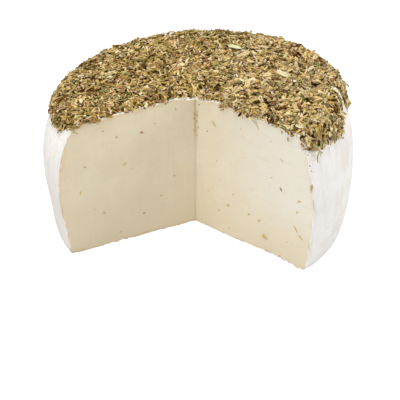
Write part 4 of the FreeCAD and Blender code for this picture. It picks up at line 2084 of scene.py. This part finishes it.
@dataclass
class ShowyBits:
    """The few herb bits that stand out: large leaves, a green sprig and some bristling stalks."""

    form: WheelForm

    def build(self) -> list[bpy.types.Object]:
        """Builds the bits, one piece for each kind.

        Returns:
            The pieces.
        """
        large = HerbFinish("large_leaf", (
            srgb(84, 84, 36), srgb(120, 100, 46), srgb(150, 144, 78), srgb(214, 218, 172)), uneven=0.03)
        fresh = HerbFinish("fresh_leaf", (srgb(104, 118, 40), srgb(176, 172, 92)), uneven=0.2)
        pieces = []
        for name, bits, seed, finish in (
                ("herb_large_leaf", self.leaves(), 31, large), ("herb_sprig", self.sprig(), 47, fresh),
                ("herb_bristle", self.bristles(), 59, STICK)):
            mesh = join_bits(name, bits, seed)
            pieces.append(new_piece(name, mesh, COAT_NODE, [finish.material()]))
        return pieces

    def bristles(self) -> list[Bit]:
        """A few thin stalks that stand out from the left-hand shoulder.

        Returns:
            The bits.
        """
        bits = []
        for bearing, height, lean, length in (
                (156, 64.5, 0.5, 4.2), (158.5, 63.5, -0.6, 3.8),
                (164, 62.5, 0.1, 3.4), (166, 62.0, 0.9, 3.0)):
            place, up = self.form.on_side(bearing, height * MM)
            level = heading(math.radians(bearing + 90))
            towards = up + level * lean + Vector((0, 0, 0.5))
            middle = place + up * 1.9 * MM
            tone = 0.3 + 0.15 * len(bits)
            bits.append(Bit(middle, level, towards, length * MM, 0.36 * MM, tone, Shape.STALK))
        return bits

    def leaves(self) -> list[Bit]:
        """The large leaves: four on the crown and two on the right-hand cut's edge.

        Returns:
            The bits.
        """
        bits = [
            self.on_crown(12.0, 41.0, -24.0, 7.8, 3.6, 1.0),
            self.on_crown(37.0, 3.0, 60.0, 5.0, 1.9, 0.6),
            self.on_crown(-30.0, 22.0, 15.0, 5.0, 1.8, 0.55),
            self.on_crown(5.0, 20.0, 80.0, 4.6, 1.8, 0.6),
        ]
        outwards = heading(self.form.bearings[Cut.RIGHT])
        face = self.form.face_normal(Cut.RIGHT)
        for along, height, length, width, turn, tone in (
                (51.7, 70.2, 3.4, 2.0, -15, 0.0), (55.0, 68.6, 3.8, 2.2, -30, 0.33)):
            middle = self.form.on_cut(Cut.RIGHT, along, height) + face * 0.9 * MM
            up = face + Vector((0, 0, 0.7))
            bits.append(Bit(middle, up, sloping(outwards, turn), length * MM, width * MM, tone))
        return bits

    def on_crown(self, x: float, y: float, turn: float, length: float, width: float, tone: float) -> Bit:
        """A leaf that lies on the coat, its place and size in millimetres.

        Args:
            x: Place to the right.
            y: Place to the back.
            turn: Angle from +X in degrees.
            length: The leaf's length.
            width: Its width.
            tone: Its place in the run of tones.

        Returns:
            The bit.
        """
        place, up = self.form.on_top(x * MM, y * MM)
        towards = heading(math.radians(turn))
        return Bit(place + up * 2.9 * MM, up, towards, length * MM, width * MM, tone)

    def sprig(self) -> list[Bit]:
        """A thin green sprig that hangs from the hem beside the right-hand cut.

        Returns:
            The bits.
        """
        bits = []
        for bearing, height, slope, length, width, lift in (
                (-34.4, 61.3, -84, 8.0, 0.7, 2.2), (-35.4, 62.8, -62, 4.2, 1.2, 2.8),
                (-33.2, 62.6, -116, 4.0, 1.2, 2.8), (-33.6, 60.0, -48, 3.2, 0.9, 2.2),
                (-35.6, 59.4, -132, 3.2, 0.9, 2.2), (-35.4, 57.2, -105, 2.8, 0.9, 1.8)):
            place, up = self.form.on_side(bearing, height * MM)
            towards = sloping(heading(math.radians(bearing + 90)), slope)
            tone = 0.15 + 0.7 * (len(bits) % 2)
            bits.append(Bit(place + up * lift * MM, up, towards, length * MM, width * MM, tone))
        return bits


# --------------------------------------------------------------------- studio


@dataclass(frozen=True)
class Lamp:
    """One square lamp that faces the cheese: its place and width in metres, its power in watts."""

    name: str
    place: tuple[float, float, float]
    size: float
    power: float

    def build(self) -> None:
        """Hangs the lamp."""
        data = bpy.data.lights.new(self.name, "AREA")
        data.size = self.size
        data.energy = self.power
        lamp = bpy.data.objects.new(self.name, data)
        lamp.location = self.place
        towards = Vector((0, 0, 30 * MM)) - Vector(self.place)
        lamp.rotation_euler = towards.to_track_quat("-Z", "Y").to_euler()
        bpy.context.scene.collection.objects.link(lamp)


@dataclass(frozen=True)
class Studio:
    """Camera, broad soft lamps, floor and backdrop."""

    azimuth: float = 7.35
    elevation: float = 32.15
    distance: float = 0.7206
    lens: float = 135.0
    sensor: float = 36.0
    aim_right: float = 0.6 * MM
    aim_up: float = 6.28 * MM
    floor_reach: float = 3.0
    floor_grey: Colour = (0.7, 0.7, 0.7, 1.0)
    floor_glow: float = 0.75
    world_level: float = 0.45
    white: Colour = (1.0, 1.0, 1.0, 1.0)
    lamps: tuple[Lamp, ...] = (
        Lamp("overhead", (-0.1, -0.1, 0.9), 0.5, 5.4),
        Lamp("left_front", (-0.6, -0.82, 0.55), 0.4, 2.4),
        Lamp("right_side", (0.95, 0.1, 0.5), 0.5, 3.6),
    )

    def build(self) -> None:
        """Sets up the whole studio."""
        self.camera()
        for lamp in self.lamps:
            lamp.build()
        self.floor()
        self.backdrop()
        bpy.context.scene.view_settings.view_transform = "Standard"

    def camera(self) -> None:
        """Adds the camera, looking down at the open side of the cut."""
        turn, rise = math.radians(self.azimuth), math.radians(self.elevation)
        back = Vector((math.sin(turn) * math.cos(rise), -math.cos(turn) * math.cos(rise), math.sin(rise)))
        right = heading(turn)
        up = back.cross(right)
        aim = right * self.aim_right + up * self.aim_up
        data = bpy.data.cameras.new("camera")
        data.lens = self.lens
        data.sensor_width = self.sensor
        data.clip_start = 0.01
        camera = bpy.data.objects.new("camera", data)
        axes = Matrix((right, up, back)).transposed().to_4x4()
        camera.matrix_world = Matrix.Translation(aim + back * self.distance) @ axes
        bpy.context.scene.collection.objects.link(camera)
        bpy.context.scene.camera = camera

    def seen(self, graph: Graph, other: str) -> bpy.types.NodeSocket:
        """1 for the camera's rays and for one other kind, 0 for the rest."""
        rays = graph.node("ShaderNodeLightPath").outputs
        return graph.maths("MAXIMUM", rays["Is Camera Ray"], rays[other])

    def floor(self) -> None:
        """Adds a pale floor that shows white to the eye and keeps the shadow."""
        mesh = bpy.data.meshes.new("floor")
        reach = self.floor_reach
        corners = [(-reach, -reach, 0), (reach, -reach, 0), (reach, reach, 0), (-reach, reach, 0)]
        mesh.from_pydata(corners, [], [(0, 1, 2, 3)])
        floor = bpy.data.objects.new("floor", mesh)
        bpy.context.scene.collection.objects.link(floor)
        material = bpy.data.materials.new("floor")
        material.use_nodes = True
        graph = Graph(material.node_tree)
        graph.tree.nodes.clear()
        diffuse = graph.feed(graph.node("ShaderNodeBsdfDiffuse"), Color=self.floor_grey)
        level = graph.maths("MULTIPLY", self.seen(graph, "Is Glossy Ray"), self.floor_glow)
        glow = graph.feed(graph.node("ShaderNodeEmission"), Color=self.white, Strength=level)
        both = graph.node("ShaderNodeAddShader")
        graph.put(both.inputs[0], diffuse.outputs["BSDF"])
        graph.put(both.inputs[1], glow.outputs["Emission"])
        output = graph.node("ShaderNodeOutputMaterial")
        graph.put(output.inputs["Surface"], both.outputs["Shader"])
        mesh.materials.append(material)

    def backdrop(self) -> None:
        """Sets a soft grey world that looks white behind the cheese."""
        world = bpy.data.worlds.new("studio")
        world.use_nodes = True
        bpy.context.scene.world = world
        graph = Graph(world.node_tree)
        graph.tree.nodes.clear()
        level = graph.node("ShaderNodeMapRange")
        graph.feed(level, Value=self.seen(graph, "Is Transmission Ray"), To_Min=self.world_level, To_Max=1.0)
        glow = graph.node("ShaderNodeBackground")
        graph.feed(glow, Color=self.white, Strength=level.outputs["Result"])
        output = graph.node("ShaderNodeOutputWorld")
        graph.put(output.inputs["Surface"], glow.outputs["Background"])


# ----------------------------------------------------------------------- main


def main() -> None:
    """Builds the studio and every piece in order."""
    logging.basicConfig(level=logging.INFO, format="%(name)s: %(message)s", stream=sys.stdout)
    Studio().build()
    form = WheelForm()
    body = CheeseWheel(form).build()
    PasteFlecks(form, body).build()
    bed = HerbBed(form, Hem(form))
    bed.build()
    HerbCoat(bed, herb_kinds()).build()
    ShowyBits(form).build()


if __name__ == "__main__":
    main()
